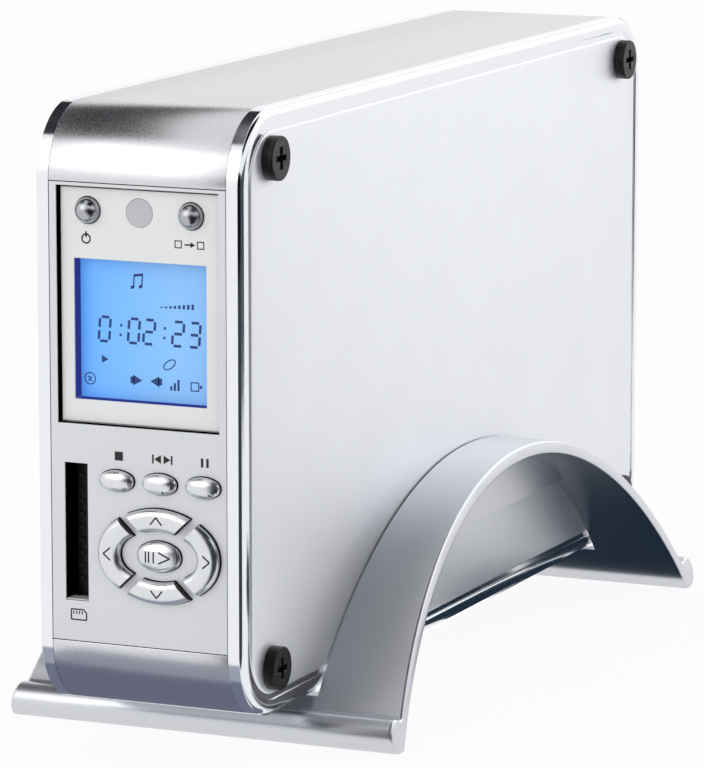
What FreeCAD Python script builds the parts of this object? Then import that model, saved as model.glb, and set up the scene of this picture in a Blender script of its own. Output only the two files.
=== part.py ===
"""An upright media player for one 3.5 inch hard drive, standing in an arch stand.

Millimetres. +Z is up, the front faces -Y and +X is to the right seen from the front. The origin is
the centre of the footprint, on the surface that the stand rests on.
"""
import FreeCAD, Part
import math
import os
import re
import Sketcher
from FreeCAD import Vector

doc = FreeCAD.newDocument("media_player")

# ---------------------------------------------------------------- driving dimensions
SIZES = {
    # case
    "body_height": 116,         # over both covers
    "body_depth": 212,          # front face to rear face
    "wrap_width": 36.8,         # covers, fascia and rear panel
    "corner_radius": 14,
    "wall": 2,
    "seam_gap": 0.15,           # round the fascia and the rear panel
    # plated side frames and the panels in them
    "frame_band": 2.3,          # flat band beside the covers
    "frame_bulge": 0.8,         # how far the rim swells out past the band
    "bulge_run": 2,             # width over which it swells
    "rim_width": 3.1,
    "ledge": 2.5,               # that the panel seats on
    "fit": 0.1,                 # assembly clearance
    "close_fit": 0.05,
    "panel_thickness": 1.5,
    "panel_gap": 0.4,
    "panel_edge": 0.5,
    # foot screws and the pillars that they turn into
    "screw_inset": 13,          # from the front and rear faces
    "screw_rise": 9.3,          # from the top and bottom
    "screw_head": 8.5,
    "screw_proud": 2.3,
    "screw_shank": 3,
    "screw_grip": 8,
    "recess_span": 4.2,         # cross recess
    "recess_width": 1,
    "recess_depth": 1.3,
    "pillar_flats": 6,
    # arch stand
    "stand_width": 83,
    "crown_height": 45.2,
    "sheet": 2.8,
    "nose_reach": 85.5,         # half the stand's length
    "bead": 6.7,                # diameter of the rounded lip
    "valley": 1.3,              # radius between lip and arch
    "side_lean": 0.18,          # the ends lean in this much for each millimetre up
    "stand_shift": 5,           # behind the middle of the case
    "slot_clearance": 0.35,
    "seat_height": 8.5,
    "seat_pad": 0.8,
    "pad_margin": 0.2,
    "pad_width": 24,
    "cheek_height": 29,
    "cheek_thickness": 1.8,
    # display plate and display
    "plate_recess": 1.2,
    "plate_thickness": 1.6,
    "plate_gap": 0.4,
    "opening_half": 16.8,
    "opening_margin": 0.6,      # of fascia above the opening
    "flange_low": 2.4,
    "flange_side": 0.4,
    "window_half": 13.7,
    "display_sink": 2.7,
    "display_margin": 1.2,
    "display_thickness": 4.1,
    "collar": 1.2,
    "ir_radius": 2.7,           # infra-red window
    # tabs that hook the fascia, the display plate and the rear panel behind the covers
    "tab_half": 8,
    "tab_reach": 2,
    "tab_gap": 0.35,
    "tab_thickness": 1,
    "hook_near": 5,
    "hook_far": 13,
    # front board and the square pegs that it is pressed on
    "board_thickness": 1.6,
    "peg_post": 3.2,
    "peg": 2,
    "peg_end": 0.8,             # past the board
    "low_peg_left": 6.9,
    "low_peg_right": 15.1,
    "high_peg": 14.2,
    "front_board_margin": 0.6,
    # buttons and keys
    "travel": 0.5,
    "key_clearance": 0.15,
    "key_proud": 1.8,
    "key_edge": 0.9,            # chamfer of the oval keys
    "ring_edge": 0.55,          # chamfer of the keys in the ring
    "key_flange": 0.8,
    "flange_overhang": 0.3,
    "dome_proud": 1.2,          # past the front face
    "dome_radius": 2.5,
    "dome_edge": 0.9,           # chamfer of the round buttons
    "dome_spacing": 10.7,
    "oval_half": 3.55,
    "oval_half_height": 2.05,
    "oval_end": 1.55,           # radius of an oval's ends
    "oval_pitch": 8.95,
    "oval_middle": 4.6,
    "ring_middle": 4.4,
    "ring_half": 12.75,
    "ring_half_height": 9.3,
    "ring_end": 7.4,
    "island_half": 7.9,
    "island_half_height": 4.75,
    "island_end": 3.4,
    "play_half": 4.55,
    "play_half_height": 2.95,
    "play_end": 2.3,
    "web": 1.65,
    "web_angle": 44,
    "switch_size": 5,
    "switch_height": 3.5,
    "well": 3.4,
    "well_depth": 1.4,
    "stem": 2.6,
    # card slot and socket
    "card_length": 26.6,
    "card_middle": -13.05,
    "card_width": 4.8,
    "sleeve_wall": 0.8,
    "sleeve_depth": 5,
    "socket_height": 3.8,
    "socket_depth": 26,
    "card_gap": 2.5,
    # drive and tray
    "tray_room": 4.2,           # above and below the tray
    "rear_room": 43,            # behind the drive
    "drive_thickness": 26.1,
    "drive_clearance": 0.3,     # to the right-hand panel
    "drive_front": 22,          # behind the front face
    "lid": 1.2,
    "lid_inset": 2,
    "tray_sheet": 1,
    "tray_flange": 18,
    "tray_margin": 2,
    "tray_window": 24,
    "ear_width": 9,
    "ear_reach": 5,
    # main board on its square supports
    "support_length": 2.5,
    "support": 5,
    "support_peg": 2.4,
    "support_front": 38,
    "support_rear": 11,         # before the drive's rear end
    "board_front": 14,
    "board_rear": 4,            # short of the rear panel
    "tongue_margin": 3.3,       # of the board's tongue past the card slot
    "tongue_front": 5.2,
    # ribbon between drive and board
    "plug_length": 8,
    "plug_thickness": 6,
    "plug_offset": 8.4,         # from the tray to the ribbon's middle
    "ribbon_width": 50,
    "ribbon_thickness": 1,
    "ribbon_bend": 4,
    "ribbon_run": 3,
    "header_reach": 6,
    # what stands on the main board
    "chip_thickness": 1.6,
    "processor_size": 28,
    "processor_y": 100,
    "sink_size": 32,
    "sink_base": 1.5,
    "sink_fins": 3.5,
    "sink_fin": 1,
    "memory_y": 60,
    "memory_depth": 12,
    "memory_length": 18,
    # rear sockets
    "jack_proud": 8,
    "jack_radius": 4.15,
    "jack_bore": 1.7,
    "jack_rise": 7.9,           # from the board to the sockets' middle
    "jack_block": 13,
    "jack_margin": 1,           # of a socket case past the sockets' pitch
    "jack_depth": 12,
    "jack_well": 9,
    "inlet_radius": 4.1,
    "inlet_bore": 2.9,
    "inlet_pin": 1,
    "usb_half": 5.6,
    "usb_wall": 1.3,
    "usb_tongue": 1.5,
    "video_radius": 4.7,
    "video_wall": 0.9,
    "vent_first": 7,
    "vent_width": 1.8,
    "vent_pitch": 4,
}

# Heights on the front, on the rear panel and on the boards, each as its share of the way from the
# lower seam up to the upper one.
HEIGHTS = {
    # display plate, its window and the buttons in it
    "opening_bottom": 0.4773,
    "window_bottom": 0.5295,
    "window_top": 0.8341,
    "dome_up": 0.9386,
    # keys and card slot
    "oval_up": 0.3608,
    "ring_up": 0.2034,
    "card_up": 0.2409,
    # front board and the pegs that carry it
    "front_board_bottom": 0.0523,
    "front_board_step": 0.4773,
    "front_board_top": 0.9886,
    "right_peg_up": 0.0795,
    "left_peg_up": 0.4227,
    "high_peg_up": 0.8795,
    # main board, its supports and what stands on it
    "board_bottom": 0.0114,
    "board_top": 0.9886,
    "low_support_up": 0.1136,
    "high_support_up": 0.8864,
    "processor_up": 0.5227,
    "low_chip_up": 0.3409,
    "high_chip_up": 0.6136,
    "ribbon_up": 0.5227,
    # rear sockets and vents
    "inlet_up": 0.1023,
    "usb_up": 0.2898,
    "low_phono_up": 0.4773,
    "middle_phono_up": 0.6137,
    "high_phono_up": 0.7501,
    "video_up": 0.9091,
    "vent_bottom": 0.125,
    "vent_top": 0.8068,
}

# Values worked out from the sizes.
FORMULAS = {
    "front": "(key_proud - body_depth - jack_proud) / 2",
    "back": "front + body_depth",
    "base": "seat_height + seat_pad",
    "top": "base + body_height",
    "seam_low": "base + corner_radius",
    "seam_high": "top - corner_radius",
    "half_wrap": "wrap_width / 2",
    "crease": "half_wrap + frame_band",
    "side_face": "crease + frame_bulge",
    "panel_inner": "side_face - panel_thickness",
    "post_front": "front + screw_inset",
    "post_rear": "back - screw_inset",
    "post_low": "base + screw_rise",
    "post_high": "top - screw_rise",
    "stand_y": "front + body_depth / 2 + stand_shift",
    "arch_radius": "((crown_height - bead) ^ 2 + (nose_reach - bead) ^ 2) / (2 * (crown_height - bead))",
    "arch_z": "crown_height - arch_radius",
    "inner_radius": "arch_radius - sheet",
    "bead_reach": "nose_reach - bead / 2",
    "inner_foot": "sqrt(inner_radius ^ 2 - arch_z ^ 2)",
    "slot_half": "side_face + slot_clearance",
    "seat_outer": "sqrt(arch_radius ^ 2 - (seat_height - arch_z) ^ 2) - pad_margin",
    "seat_inner": "sqrt(inner_radius ^ 2 - (seat_height - arch_z) ^ 2) + pad_margin",
    "fascia_back": "front + wall",
    "plate_front": "front + plate_recess",
    "plate_back": "plate_front + plate_thickness",
    "plate_half": "opening_half - plate_gap",
    "opening_top": "seam_high - seam_gap - opening_margin",
    "card_low": "card_up - card_length / 2",
    "card_high": "card_low + card_length",
    "display_face": "plate_front + display_sink",
    "board_face": "display_face + display_thickness",
    "switch_face": "board_face - switch_height",
    "stem_end": "switch_face + well_depth - travel - fit",
    "oval_left": "oval_middle - oval_pitch",
    "oval_right": "oval_middle + oval_pitch",
    "ring_across": "(ring_half + island_half) / 2",
    "ring_along": "(ring_half_height + island_half_height) / 2",
    "drive_width": "body_height - 2 * (wall + tray_sheet + tray_room)",
    "drive_length": "body_depth - drive_front - rear_room",
    "drive_right": "panel_inner - drive_clearance",
    "drive_left": "drive_right - drive_thickness",
    "tray_left": "drive_left - tray_sheet",
    "board_right": "tray_left - support_length",
    "board_left": "board_right - board_thickness",
    "drive_y": "front + drive_front",
    "drive_end": "drive_y + drive_length",
    "drive_low": "base + (body_height - drive_width) / 2",
    "drive_high": "drive_low + drive_width",
    "plug_middle": "tray_left + plug_offset",
    "plug_end": "drive_end + plug_length",
    "bend_y": "plug_end + ribbon_run",
    "ribbon_low": "ribbon_up - ribbon_width / 2",
    "header_end": "board_right + header_reach",
    "chip_face": "board_left - chip_thickness",
    "panel_back_face": "back - wall",
    "jack_x": "board_right + jack_rise",
    "jack_high": "middle_phono_up - low_phono_up + jack_margin",
}
for name, share in HEIGHTS.items():
    SIZES[f"share_of_{name}"] = share
    FORMULAS[name] = f"seam_low + share_of_{name} * (seam_high - seam_low)"

sheet = doc.addObject("Spreadsheet::Sheet", "Size")
for row, (alias, number) in enumerate(SIZES.items(), start=1):
    sheet.set(f"A{row}", alias)
    sheet.set(f"B{row}", str(number))
    sheet.setAlias(f"B{row}", alias)
doc.recompute()


def bound(formula):
    """A formula in the sheet's own aliases, as FreeCAD's expressions want it."""
    def replace(match):
        word = match.group(0)
        if word in FORMULAS:
            return f"({bound(FORMULAS[word])})"
        return f"Size.{word}" if word in SIZES else word
    return re.sub(r"[a-z_]+", replace, str(formula))


def value(formula):
    return float(sheet.evalExpression(bound(formula)))


# ---------------------------------------------------------------- sketches and features
def new_body(name):
    body = doc.addObject("PartDesign::Body", name)
    body.Label = name
    return body


def sketch_on(body, role, at="0", centre=("0", "0"), angle=None):
    """A sketch on one of the body's origin planes, moved to a world coordinate along its normal."""
    sketch = body.newObject("Sketcher::SketchObject", f"{body.Name}_sketch")
    plane = next(item for item in body.Origin.OriginFeatures if item.Role == role)
    sketch.AttachmentSupport = [(plane, "")]
    sketch.MapMode = "FlatFace"
    along = f"-({at})" if role == "XZ_Plane" else at
    for axis, formula in zip("xyz", (*centre, along)):
        sketch.setExpression(f"AttachmentOffset.Base.{axis}", bound(formula))
    if angle:
        sketch.setExpression("AttachmentOffset.Rotation.Angle", bound(angle))
    return sketch


def hold(sketch, kind, *where, formula):
    """A constraint whose number follows a formula."""
    index = sketch.addConstraint(Sketcher.Constraint(kind, *where, value(formula)))
    sketch.setExpression(f"Constraints[{index}]", bound(formula))


def hold_point(sketch, geometry, point, across, up):
    hold(sketch, "DistanceX", -1, 1, geometry, point, formula=across)
    hold(sketch, "DistanceY", -1, 1, geometry, point, formula=up)


def join(sketch, first, second, kind="Coincident"):
    sketch.addConstraint(Sketcher.Constraint(kind, *first, *second))


def polygon(sketch, corners):
    """Straight sides through corners, each corner held by two formulas."""
    points = [Vector(value(across), value(up), 0) for across, up in corners]
    first = sketch.GeometryCount
    for start, end in zip(points, points[1:] + points[:1]):
        sketch.addGeometry(Part.LineSegment(start, end), False)
    for step, (across, up) in enumerate(corners):
        join(sketch, (first + step, 2), (first + (step + 1) % len(corners), 1))
        hold_point(sketch, first + step, 1, across, up)


def rectangle(sketch, left, right, low, high):
    polygon(sketch, [(left, low), (right, low), (right, high), (left, high)])


def circle(sketch, across, up, radius):
    centre = Vector(value(across), value(up), 0)
    index = sketch.addGeometry(Part.Circle(centre, Vector(0, 0, 1), value(radius)), False)
    hold_point(sketch, index, 3, across, up)
    hold(sketch, "Radius", index, formula=radius)


def arc(sketch, centre, radius, start, end):
    """An arc of a circle between two angles, with its centre and radius as numbers."""
    whole = Part.Circle(Vector(*centre, 0), Vector(0, 0, 1), radius)
    return sketch.addGeometry(Part.ArcOfCircle(whole, start, end), False)


def case_outline(sketch, inset):
    """The case's side view, a rounded rectangle, moved in by an inset."""
    left, right, low, high = (f"{edge} {sign} ({inset})" for edge, sign in
                              (("front", "+"), ("back", "-"), ("base", "+"), ("top", "-")))
    radius = f"corner_radius - ({inset})"
    y0, y1, z0, z1, turn = (value(item) for item in (left, right, low, high, radius))
    first = sketch.GeometryCount
    quarter = math.pi / 2
    sides = [((y0 + turn, z0), (y1 - turn, z0)), ((y1, z0 + turn), (y1, z1 - turn)),
             ((y1 - turn, z1), (y0 + turn, z1)), ((y0, z1 - turn), (y0, z0 + turn))]
    centres = [(y1 - turn, z0 + turn), (y1 - turn, z1 - turn), (y0 + turn, z1 - turn), (y0 + turn, z0 + turn)]
    for step, (start, end) in enumerate(sides):
        sketch.addGeometry(Part.LineSegment(Vector(*start, 0), Vector(*end, 0)), False)
        arc(sketch, centres[step], turn, (step - 1) * quarter, step * quarter)
    for step in range(4):
        line, corner, following = first + 2 * step, first + 2 * step + 1, first + (2 * step + 2) % 8
        join(sketch, (line, 2), (corner, 1), "Tangent")
        join(sketch, (corner, 2), (following, 1), "Tangent")
        sketch.addConstraint(Sketcher.Constraint("Vertical" if step % 2 else "Horizontal", line))
        hold(sketch, "Radius", corner, formula=radius)
    hold(sketch, "DistanceY", -1, 1, first, 1, formula=low)
    hold(sketch, "DistanceX", -1, 1, first + 2, 1, formula=right)
    hold(sketch, "DistanceY", -1, 1, first + 4, 1, formula=high)
    hold(sketch, "DistanceX", -1, 1, first + 6, 1, formula=left)


def feature(body, kind, sketch, length=None, reverse=False, both=False):
    """A pad or a pocket; without a length it goes through all."""
    item = body.newObject(f"PartDesign::{kind}", f"{body.Name}_{kind.lower()}")
    item.Profile = sketch
    if length is None:
        item.Type = "ThroughAll"
    else:
        item.setExpression("Length", bound(length))
    item.Reversed = reverse
    if both:
        item.SideType = "Symmetric"
    sketch.Visibility = False
    body.Tip = item
    doc.recompute()
    return item


def pad(body, sketch, length, reverse=False, both=False):
    return feature(body, "Pad", sketch, length, reverse, both)


def pocket(body, sketch, length=None, reverse=False, both=False):
    """A cut, which has to remove something."""
    before = body.Shape.Volume
    item = feature(body, "Pocket", sketch, length, reverse, both)
    if not body.Shape.Volume < before - 1e-6:
        raise RuntimeError(f"{item.Name} cuts nothing")
    return item


def chamfer_edges(body, size, chosen):
    """A chamfer on the edges of the body's tip that a test chooses."""
    tip = body.Tip
    names = [f"Edge{number}" for number, edge in enumerate(tip.Shape.Edges, start=1) if chosen(edge)]
    item = body.newObject("PartDesign::Chamfer", f"{body.Name}_chamfer")
    item.Base = (tip, names)
    item.setExpression("Size", bound(size))
    body.Tip = item
    doc.recompute()


def lies_at(axis, coordinate, slack=1e-4):
    """A test for edges that lie in a plane across one axis."""
    def test(edge):
        box = edge.BoundBox
        low, high = {"x": (box.XMin, box.XMax), "y": (box.YMin, box.YMax), "z": (box.ZMin, box.ZMax)}[axis]
        return abs(low - coordinate) < slack and abs(high - coordinate) < slack
    return test


def mirrored(source):
    """The left-hand twin of a right-hand sub-part."""
    name = source.Label.replace("right", "left")
    item = doc.addObject("Part::Mirroring", name)
    item.Label = name
    item.Source = source
    item.Normal = Vector(1, 0, 0)
    doc.recompute()


def block(name, low, high):
    """A Part::Box between two corners, each given as three formulas."""
    item = doc.addObject("Part::Box", name)
    item.Label = name
    for axis, side, start, end in zip("xyz", ("Length", "Width", "Height"), low, high):
        item.setExpression(side, bound(f"({end}) - ({start})"))
        item.setExpression(f"Placement.Base.{axis}", bound(start))
    return item


def oval(sketch, across, up, half, half_height, end):
    """An oval of four tangent arcs: round ends of one radius and flatter sides that meet them."""
    x, z, a, b, small = (value(item) for item in (across, up, half, half_height, end))
    large = ((a - small) ** 2 + b ** 2 - small ** 2) / (2 * (b - small))
    turn = math.atan2(large - b, a - small)
    spans = [((x + a - small, z), small, -turn, turn),
             ((x, z + b - large), large, turn, math.pi - turn),
             ((x - a + small, z), small, math.pi - turn, math.pi + turn),
             ((x, z - b + large), large, math.pi + turn, 2 * math.pi - turn)]
    first = [arc(sketch, centre, radius, start, stop) for centre, radius, start, stop in spans]
    for step in range(4):
        join(sketch, (first[step], 2), (first[(step + 1) % 4], 1), "Tangent")
    for index, sign in ((first[0], "+"), (first[2], "-")):
        hold_point(sketch, index, 3, f"{across} {sign} ({half} - ({end}))", up)
        hold(sketch, "Radius", index, formula=end)
    for index, sign in ((first[1], "+"), (first[3], "-")):
        hold(sketch, "Radius", index, formula=f"(({half} - ({end})) ^ 2 + ({half_height}) ^ 2 - ({end}) ^ 2)"
                                              f" / (2 * ({half_height} - ({end})))")


def square(sketch, across, up, side):
    rectangle(sketch, f"{across} - ({side}) / 2", f"{across} + ({side}) / 2",
              f"{up} - ({side}) / 2", f"{up} + ({side}) / 2")


def hexagon(sketch, across, up, flats):
    """A hexagon with two level flats."""
    corners = []
    for right, high in ((2, 0), (1, 1), (-1, 1), (-2, 0), (-1, -1), (1, -1)):
        corners.append((f"{across} + {right} * ({flats}) / (2 * sqrt(3))", f"{up} + {high} * ({flats}) / 2"))
    polygon(sketch, corners)


# ---------------------------------------------------------------- arch stand
def arch_outline(sketch):
    """The strip's side view: an arch between two feet, each foot a round lip behind a small valley."""
    centre_y, centre_z, radius, inner = (value(item) for item in
                                         ("stand_y", "arch_z", "arch_radius", "inner_radius"))
    reach, lip, valley, foot = (value(item) for item in ("bead_reach", "bead / 2", "valley", "inner_foot"))
    # The valley's arc touches the arch and the lip, so its centre is where two circles cross.
    rise = lip - centre_z
    span = math.hypot(reach, rise)
    along = ((radius + valley) ** 2 - (lip + valley) ** 2 + span ** 2) / (2 * span)
    aside = math.sqrt((radius + valley) ** 2 - along ** 2)
    valley_d = (along * reach - aside * rise) / span
    valley_z = centre_z + (along * rise + aside * reach) / span
    arch_turn = math.atan2(valley_z - centre_z, valley_d)
    lip_turn = math.atan2(valley_z - lip, valley_d - reach)
    foot_turn = math.atan2(-centre_z, foot)
    half = math.pi
    outer = arc(sketch, (centre_y, centre_z), radius, arch_turn, half - arch_turn)
    under = arc(sketch, (centre_y, centre_z), inner, foot_turn, half - foot_turn)
    lip_rear = arc(sketch, (centre_y + reach, lip), lip, -half / 2, lip_turn)
    lip_front = arc(sketch, (centre_y - reach, lip), lip, half - lip_turn, 1.5 * half)
    valley_rear = arc(sketch, (centre_y + valley_d, valley_z), valley, arch_turn + half, lip_turn + half)
    valley_front = arc(sketch, (centre_y - valley_d, valley_z), valley, 2 * half - lip_turn,
                       2 * half - arch_turn)
    flats = [sketch.addGeometry(Part.LineSegment(Vector(centre_y + side * foot, 0, 0),
                                                 Vector(centre_y + side * reach, 0, 0)), False)
             for side in (1, -1)]
    for first, second in (((valley_rear, 1), (outer, 1)), ((valley_rear, 2), (lip_rear, 2)),
                          ((valley_front, 2), (outer, 2)), ((valley_front, 1), (lip_front, 1))):
        join(sketch, first, second, "Tangent")
    for first, second in (((flats[0], 2), (lip_rear, 1)), ((flats[0], 1), (under, 1)),
                          ((flats[1], 2), (lip_front, 2)), ((flats[1], 1), (under, 2))):
        join(sketch, first, second)
    hold_point(sketch, outer, 3, "stand_y", "arch_z")
    join(sketch, (under, 3), (outer, 3))
    hold_point(sketch, lip_rear, 3, "stand_y + bead_reach", "bead / 2")
    hold_point(sketch, lip_front, 3, "stand_y - bead_reach", "bead / 2")
    for index, formula in ((outer, "arch_radius"), (under, "inner_radius"), (lip_rear, "bead / 2"),
                           (lip_front, "bead / 2"), (valley_rear, "valley"), (valley_front, "valley")):
        hold(sketch, "Radius", index, formula=formula)
    for flat in flats:
        sketch.addConstraint(Sketcher.Constraint("Horizontal", flat))


def cheek_outline(sketch):
    """The side view of a cheek: what lies between a level chord and the middle of the arch's sheet."""
    centre_y, centre_z, radius, low = (value(item) for item in
                                       ("stand_y", "arch_z", "inner_radius + sheet / 2", "cheek_height"))
    turn = math.asin((low - centre_z) / radius)
    reach = radius * math.cos(turn)
    bow = arc(sketch, (centre_y, centre_z), radius, turn, math.pi - turn)
    chord = sketch.addGeometry(Part.LineSegment(Vector(centre_y - reach, low, 0),
                                                Vector(centre_y + reach, low, 0)), False)
    join(sketch, (bow, 1), (chord, 2))
    join(sketch, (bow, 2), (chord, 1))
    hold_point(sketch, bow, 3, "stand_y", "arch_z")
    hold(sketch, "Radius", bow, formula="inner_radius + sheet / 2")
    hold(sketch, "DistanceY", -1, 1, chord, 1, formula="cheek_height")
    sketch.addConstraint(Sketcher.Constraint("Horizontal", chord))


def arch_stand():
    """One bent strip with a rounded lip at each foot, slotted for the case, with a cheek each side."""
    body = new_body("stand")
    strip = sketch_on(body, "YZ_Plane")
    arch_outline(strip)
    pad(body, strip, "stand_width", both=True)
    cheeks = sketch_on(body, "YZ_Plane")
    cheek_outline(cheeks)
    pad(body, cheeks, "2 * (slot_half + cheek_thickness)", both=True)
    slot = sketch_on(body, "YZ_Plane")
    rectangle(slot, "stand_y - nose_reach", "stand_y + nose_reach", "seat_height", "crown_height + sheet")
    pocket(body, slot, "2 * slot_half", both=True)
    lean = sketch_on(body, "XZ_Plane")
    for side in ("", "-"):
        polygon(lean, [(f"{side}stand_width / 2", "0"), (f"{side}(stand_width / 2 + sheet)", "0"),
                       (f"{side}(stand_width / 2 + sheet)", "crown_height + sheet"),
                       (f"{side}(stand_width / 2 - side_lean * (crown_height + sheet))",
                        "crown_height + sheet")])
    pocket(body, lean, "4 * nose_reach", both=True)


def seat_pads():
    """Two strips of soft pad on the cut edges of the stand, which the case stands on."""
    body = new_body("seat_pads")
    strips = sketch_on(body, "XY_Plane", "seat_height")
    for low, high in (("stand_y - seat_outer", "stand_y - seat_inner"),
                      ("stand_y + seat_inner", "stand_y + seat_outer")):
        rectangle(strips, "-pad_width / 2", "pad_width / 2", low, high)
    pad(body, strips, "seat_pad")


# ---------------------------------------------------------------- case
def cover(name, cut_low, cut_high):
    """A cover with rounded ends: a hoop of the case's outline, cut off at the seams."""
    body = new_body(name)
    hoop = sketch_on(body, "YZ_Plane")
    case_outline(hoop, "0")
    case_outline(hoop, "wall")
    pad(body, hoop, "wrap_width", both=True)
    cut = sketch_on(body, "YZ_Plane")
    rectangle(cut, "front - wall", "back + wall", cut_low, cut_high)
    pocket(body, cut, "2 * wrap_width", both=True)


def side_frame():
    """The right-hand plated frame: a flat band, a swollen rim, a ledge for the panel and a lip."""
    body = new_body("side_frame_right")
    band = sketch_on(body, "YZ_Plane", "half_wrap")
    case_outline(band, "0")
    pad(body, band, "frame_band")
    lower = sketch_on(body, "YZ_Plane", "crease")
    case_outline(lower, "0")
    upper = sketch_on(body, "YZ_Plane", "side_face")
    case_outline(upper, "bulge_run")
    swell = body.newObject("PartDesign::AdditiveLoft", "rim_swell")
    swell.Profile = lower
    swell.Sections = [upper]
    swell.Ruled = True
    body.Tip = swell
    doc.recompute()
    opening = sketch_on(body, "YZ_Plane", "side_face")
    case_outline(opening, "rim_width + ledge")
    pocket(body, opening)
    seat = sketch_on(body, "YZ_Plane", "side_face")
    case_outline(seat, "rim_width")
    pocket(body, seat, "panel_thickness")
    return body


CORNERS = [(across, up) for across in ("post_front", "post_rear") for up in ("post_low", "post_high")]


def side_panel():
    """The right-hand panel: a flat sheet with eased edges and four screw holes."""
    body = new_body("side_panel_right")
    outline = sketch_on(body, "YZ_Plane", "panel_inner")
    case_outline(outline, "rim_width + panel_gap")
    pad(body, outline, "panel_thickness")
    chamfer_edges(body, "panel_edge", lies_at("x", value("side_face")))
    holes = sketch_on(body, "YZ_Plane", "side_face")
    for across, up in CORNERS:
        circle(holes, across, up, "screw_shank / 2 + fit")
    pocket(body, holes)
    return body


def foot_screws():
    """Four large-headed screws, heads outside the right-hand panel, shanks in the pillars."""
    body = new_body("foot_screws_right")
    heads = sketch_on(body, "YZ_Plane", "side_face")
    shanks = sketch_on(body, "YZ_Plane", "side_face")
    recesses = sketch_on(body, "YZ_Plane", "side_face + screw_proud")
    reach, half = "recess_span / 2", "recess_width / 2"
    for across, up in CORNERS:
        circle(heads, across, up, "screw_head / 2")
        circle(shanks, across, up, "screw_shank / 2")
        turns = [(reach, half), (half, half), (half, reach)]
        corners = []
        for right, high in ((1, 1), (-1, 1), (-1, -1), (1, -1)):
            quarter = turns if right * high > 0 else turns[::-1]
            corners += [(f"{across} + {right} * {step}", f"{up} + {high} * {rise}") for step, rise in quarter]
        polygon(recesses, corners)
    pad(body, heads, "screw_proud")
    pad(body, shanks, "screw_grip", reverse=True)
    pocket(body, recesses, "recess_depth")
    return body


def corner_pillars():
    """Four hexagonal pillars between the two side panels, bored right through for the foot screws."""
    body = new_body("corner_pillars")
    bars = sketch_on(body, "YZ_Plane")
    for across, up in CORNERS:
        hexagon(bars, across, up, "pillar_flats")
        circle(bars, across, up, "screw_shank / 2 + close_fit")
    pad(body, bars, "2 * panel_inner", both=True)


# ---------------------------------------------------------------- front
LOW_PEGS = [("-low_peg_left", "left_peg_up"), ("low_peg_right", "right_peg_up")]
HIGH_PEGS = [("-high_peg", "high_peg_up"), ("high_peg", "high_peg_up")]
OVALS = [("stop_button", "oval_left"), ("skip_button", "oval_middle"), ("pause_button", "oval_right")]
RING = [("key_up", 0, 1), ("key_right", 1, 0), ("key_down", 0, -1), ("key_left", -1, 0)]
DOMES = [("power_button", "-dome_spacing"), ("backup_button", "dome_spacing")]


def board_pegs(body, places, start):
    """Square posts that the front board is pressed on, each with a thinner peg through the board."""
    for side, depth in (("peg_post", "board_face"), ("peg", "board_face + board_thickness + peg_end")):
        posts = sketch_on(body, "XZ_Plane", start)
        for across, up in places:
            square(posts, across, up, side)
        pad(body, posts, f"{depth} - ({start})", reverse=True)


def front_fascia():
    """The flat front: display opening, card slot with its sleeve, key openings and board pegs."""
    body = new_body("front_fascia")
    outline = sketch_on(body, "XZ_Plane", "front")
    rectangle(outline, "-half_wrap + seam_gap", "half_wrap - seam_gap", "seam_low + seam_gap",
              "seam_high - seam_gap")
    pad(body, outline, "wall", reverse=True)
    openings = sketch_on(body, "XZ_Plane", "front")
    rectangle(openings, "-opening_half", "opening_half", "opening_bottom", "opening_top")
    for _, across in OVALS:
        oval(openings, across, "oval_up", "oval_half + key_clearance", "oval_half_height + key_clearance",
             "oval_end + key_clearance")
    oval(openings, "ring_middle", "ring_up", "ring_half", "ring_half_height", "ring_end")
    oval(openings, "ring_middle", "ring_up", "island_half", "island_half_height", "island_end")
    pocket(body, openings)
    for angle in ("web_angle", "180 - web_angle"):
        web = sketch_on(body, "XZ_Plane", "front", ("ring_middle", "ring_up"), angle)
        rectangle(web, "-ring_half_height - web", "ring_half_height + web", "-web / 2", "web / 2")
        pad(body, web, "wall", reverse=True)
    play = sketch_on(body, "XZ_Plane", "front")
    oval(play, "ring_middle", "ring_up", "play_half + key_clearance", "play_half_height + key_clearance",
         "play_end + key_clearance")
    pocket(body, play)
    sleeve = sketch_on(body, "XZ_Plane", "fascia_back")
    rectangle(sleeve, "card_middle - card_width / 2 - sleeve_wall",
              "card_middle + card_width / 2 + sleeve_wall",
              "card_low - sleeve_wall", "card_high + sleeve_wall")
    pad(body, sleeve, "sleeve_depth - wall", reverse=True)
    slot = sketch_on(body, "XZ_Plane", "front")
    rectangle(slot, "card_middle - card_width / 2", "card_middle + card_width / 2",
              "card_low", "card_high")
    pocket(body, slot)
    board_pegs(body, LOW_PEGS, "fascia_back")
    foot = sketch_on(body, "XZ_Plane", "fascia_back")
    rectangle(foot, "-tab_half", "tab_half", "seam_low + seam_gap", "seam_low + tab_reach")
    pad(body, foot, "tab_gap + tab_thickness", reverse=True)
    hook = sketch_on(body, "XZ_Plane", "fascia_back + tab_gap")
    rectangle(hook, "-tab_half", "tab_half", "seam_low - tab_reach", "seam_low + tab_reach")
    pad(body, hook, "tab_thickness", reverse=True)


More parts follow.
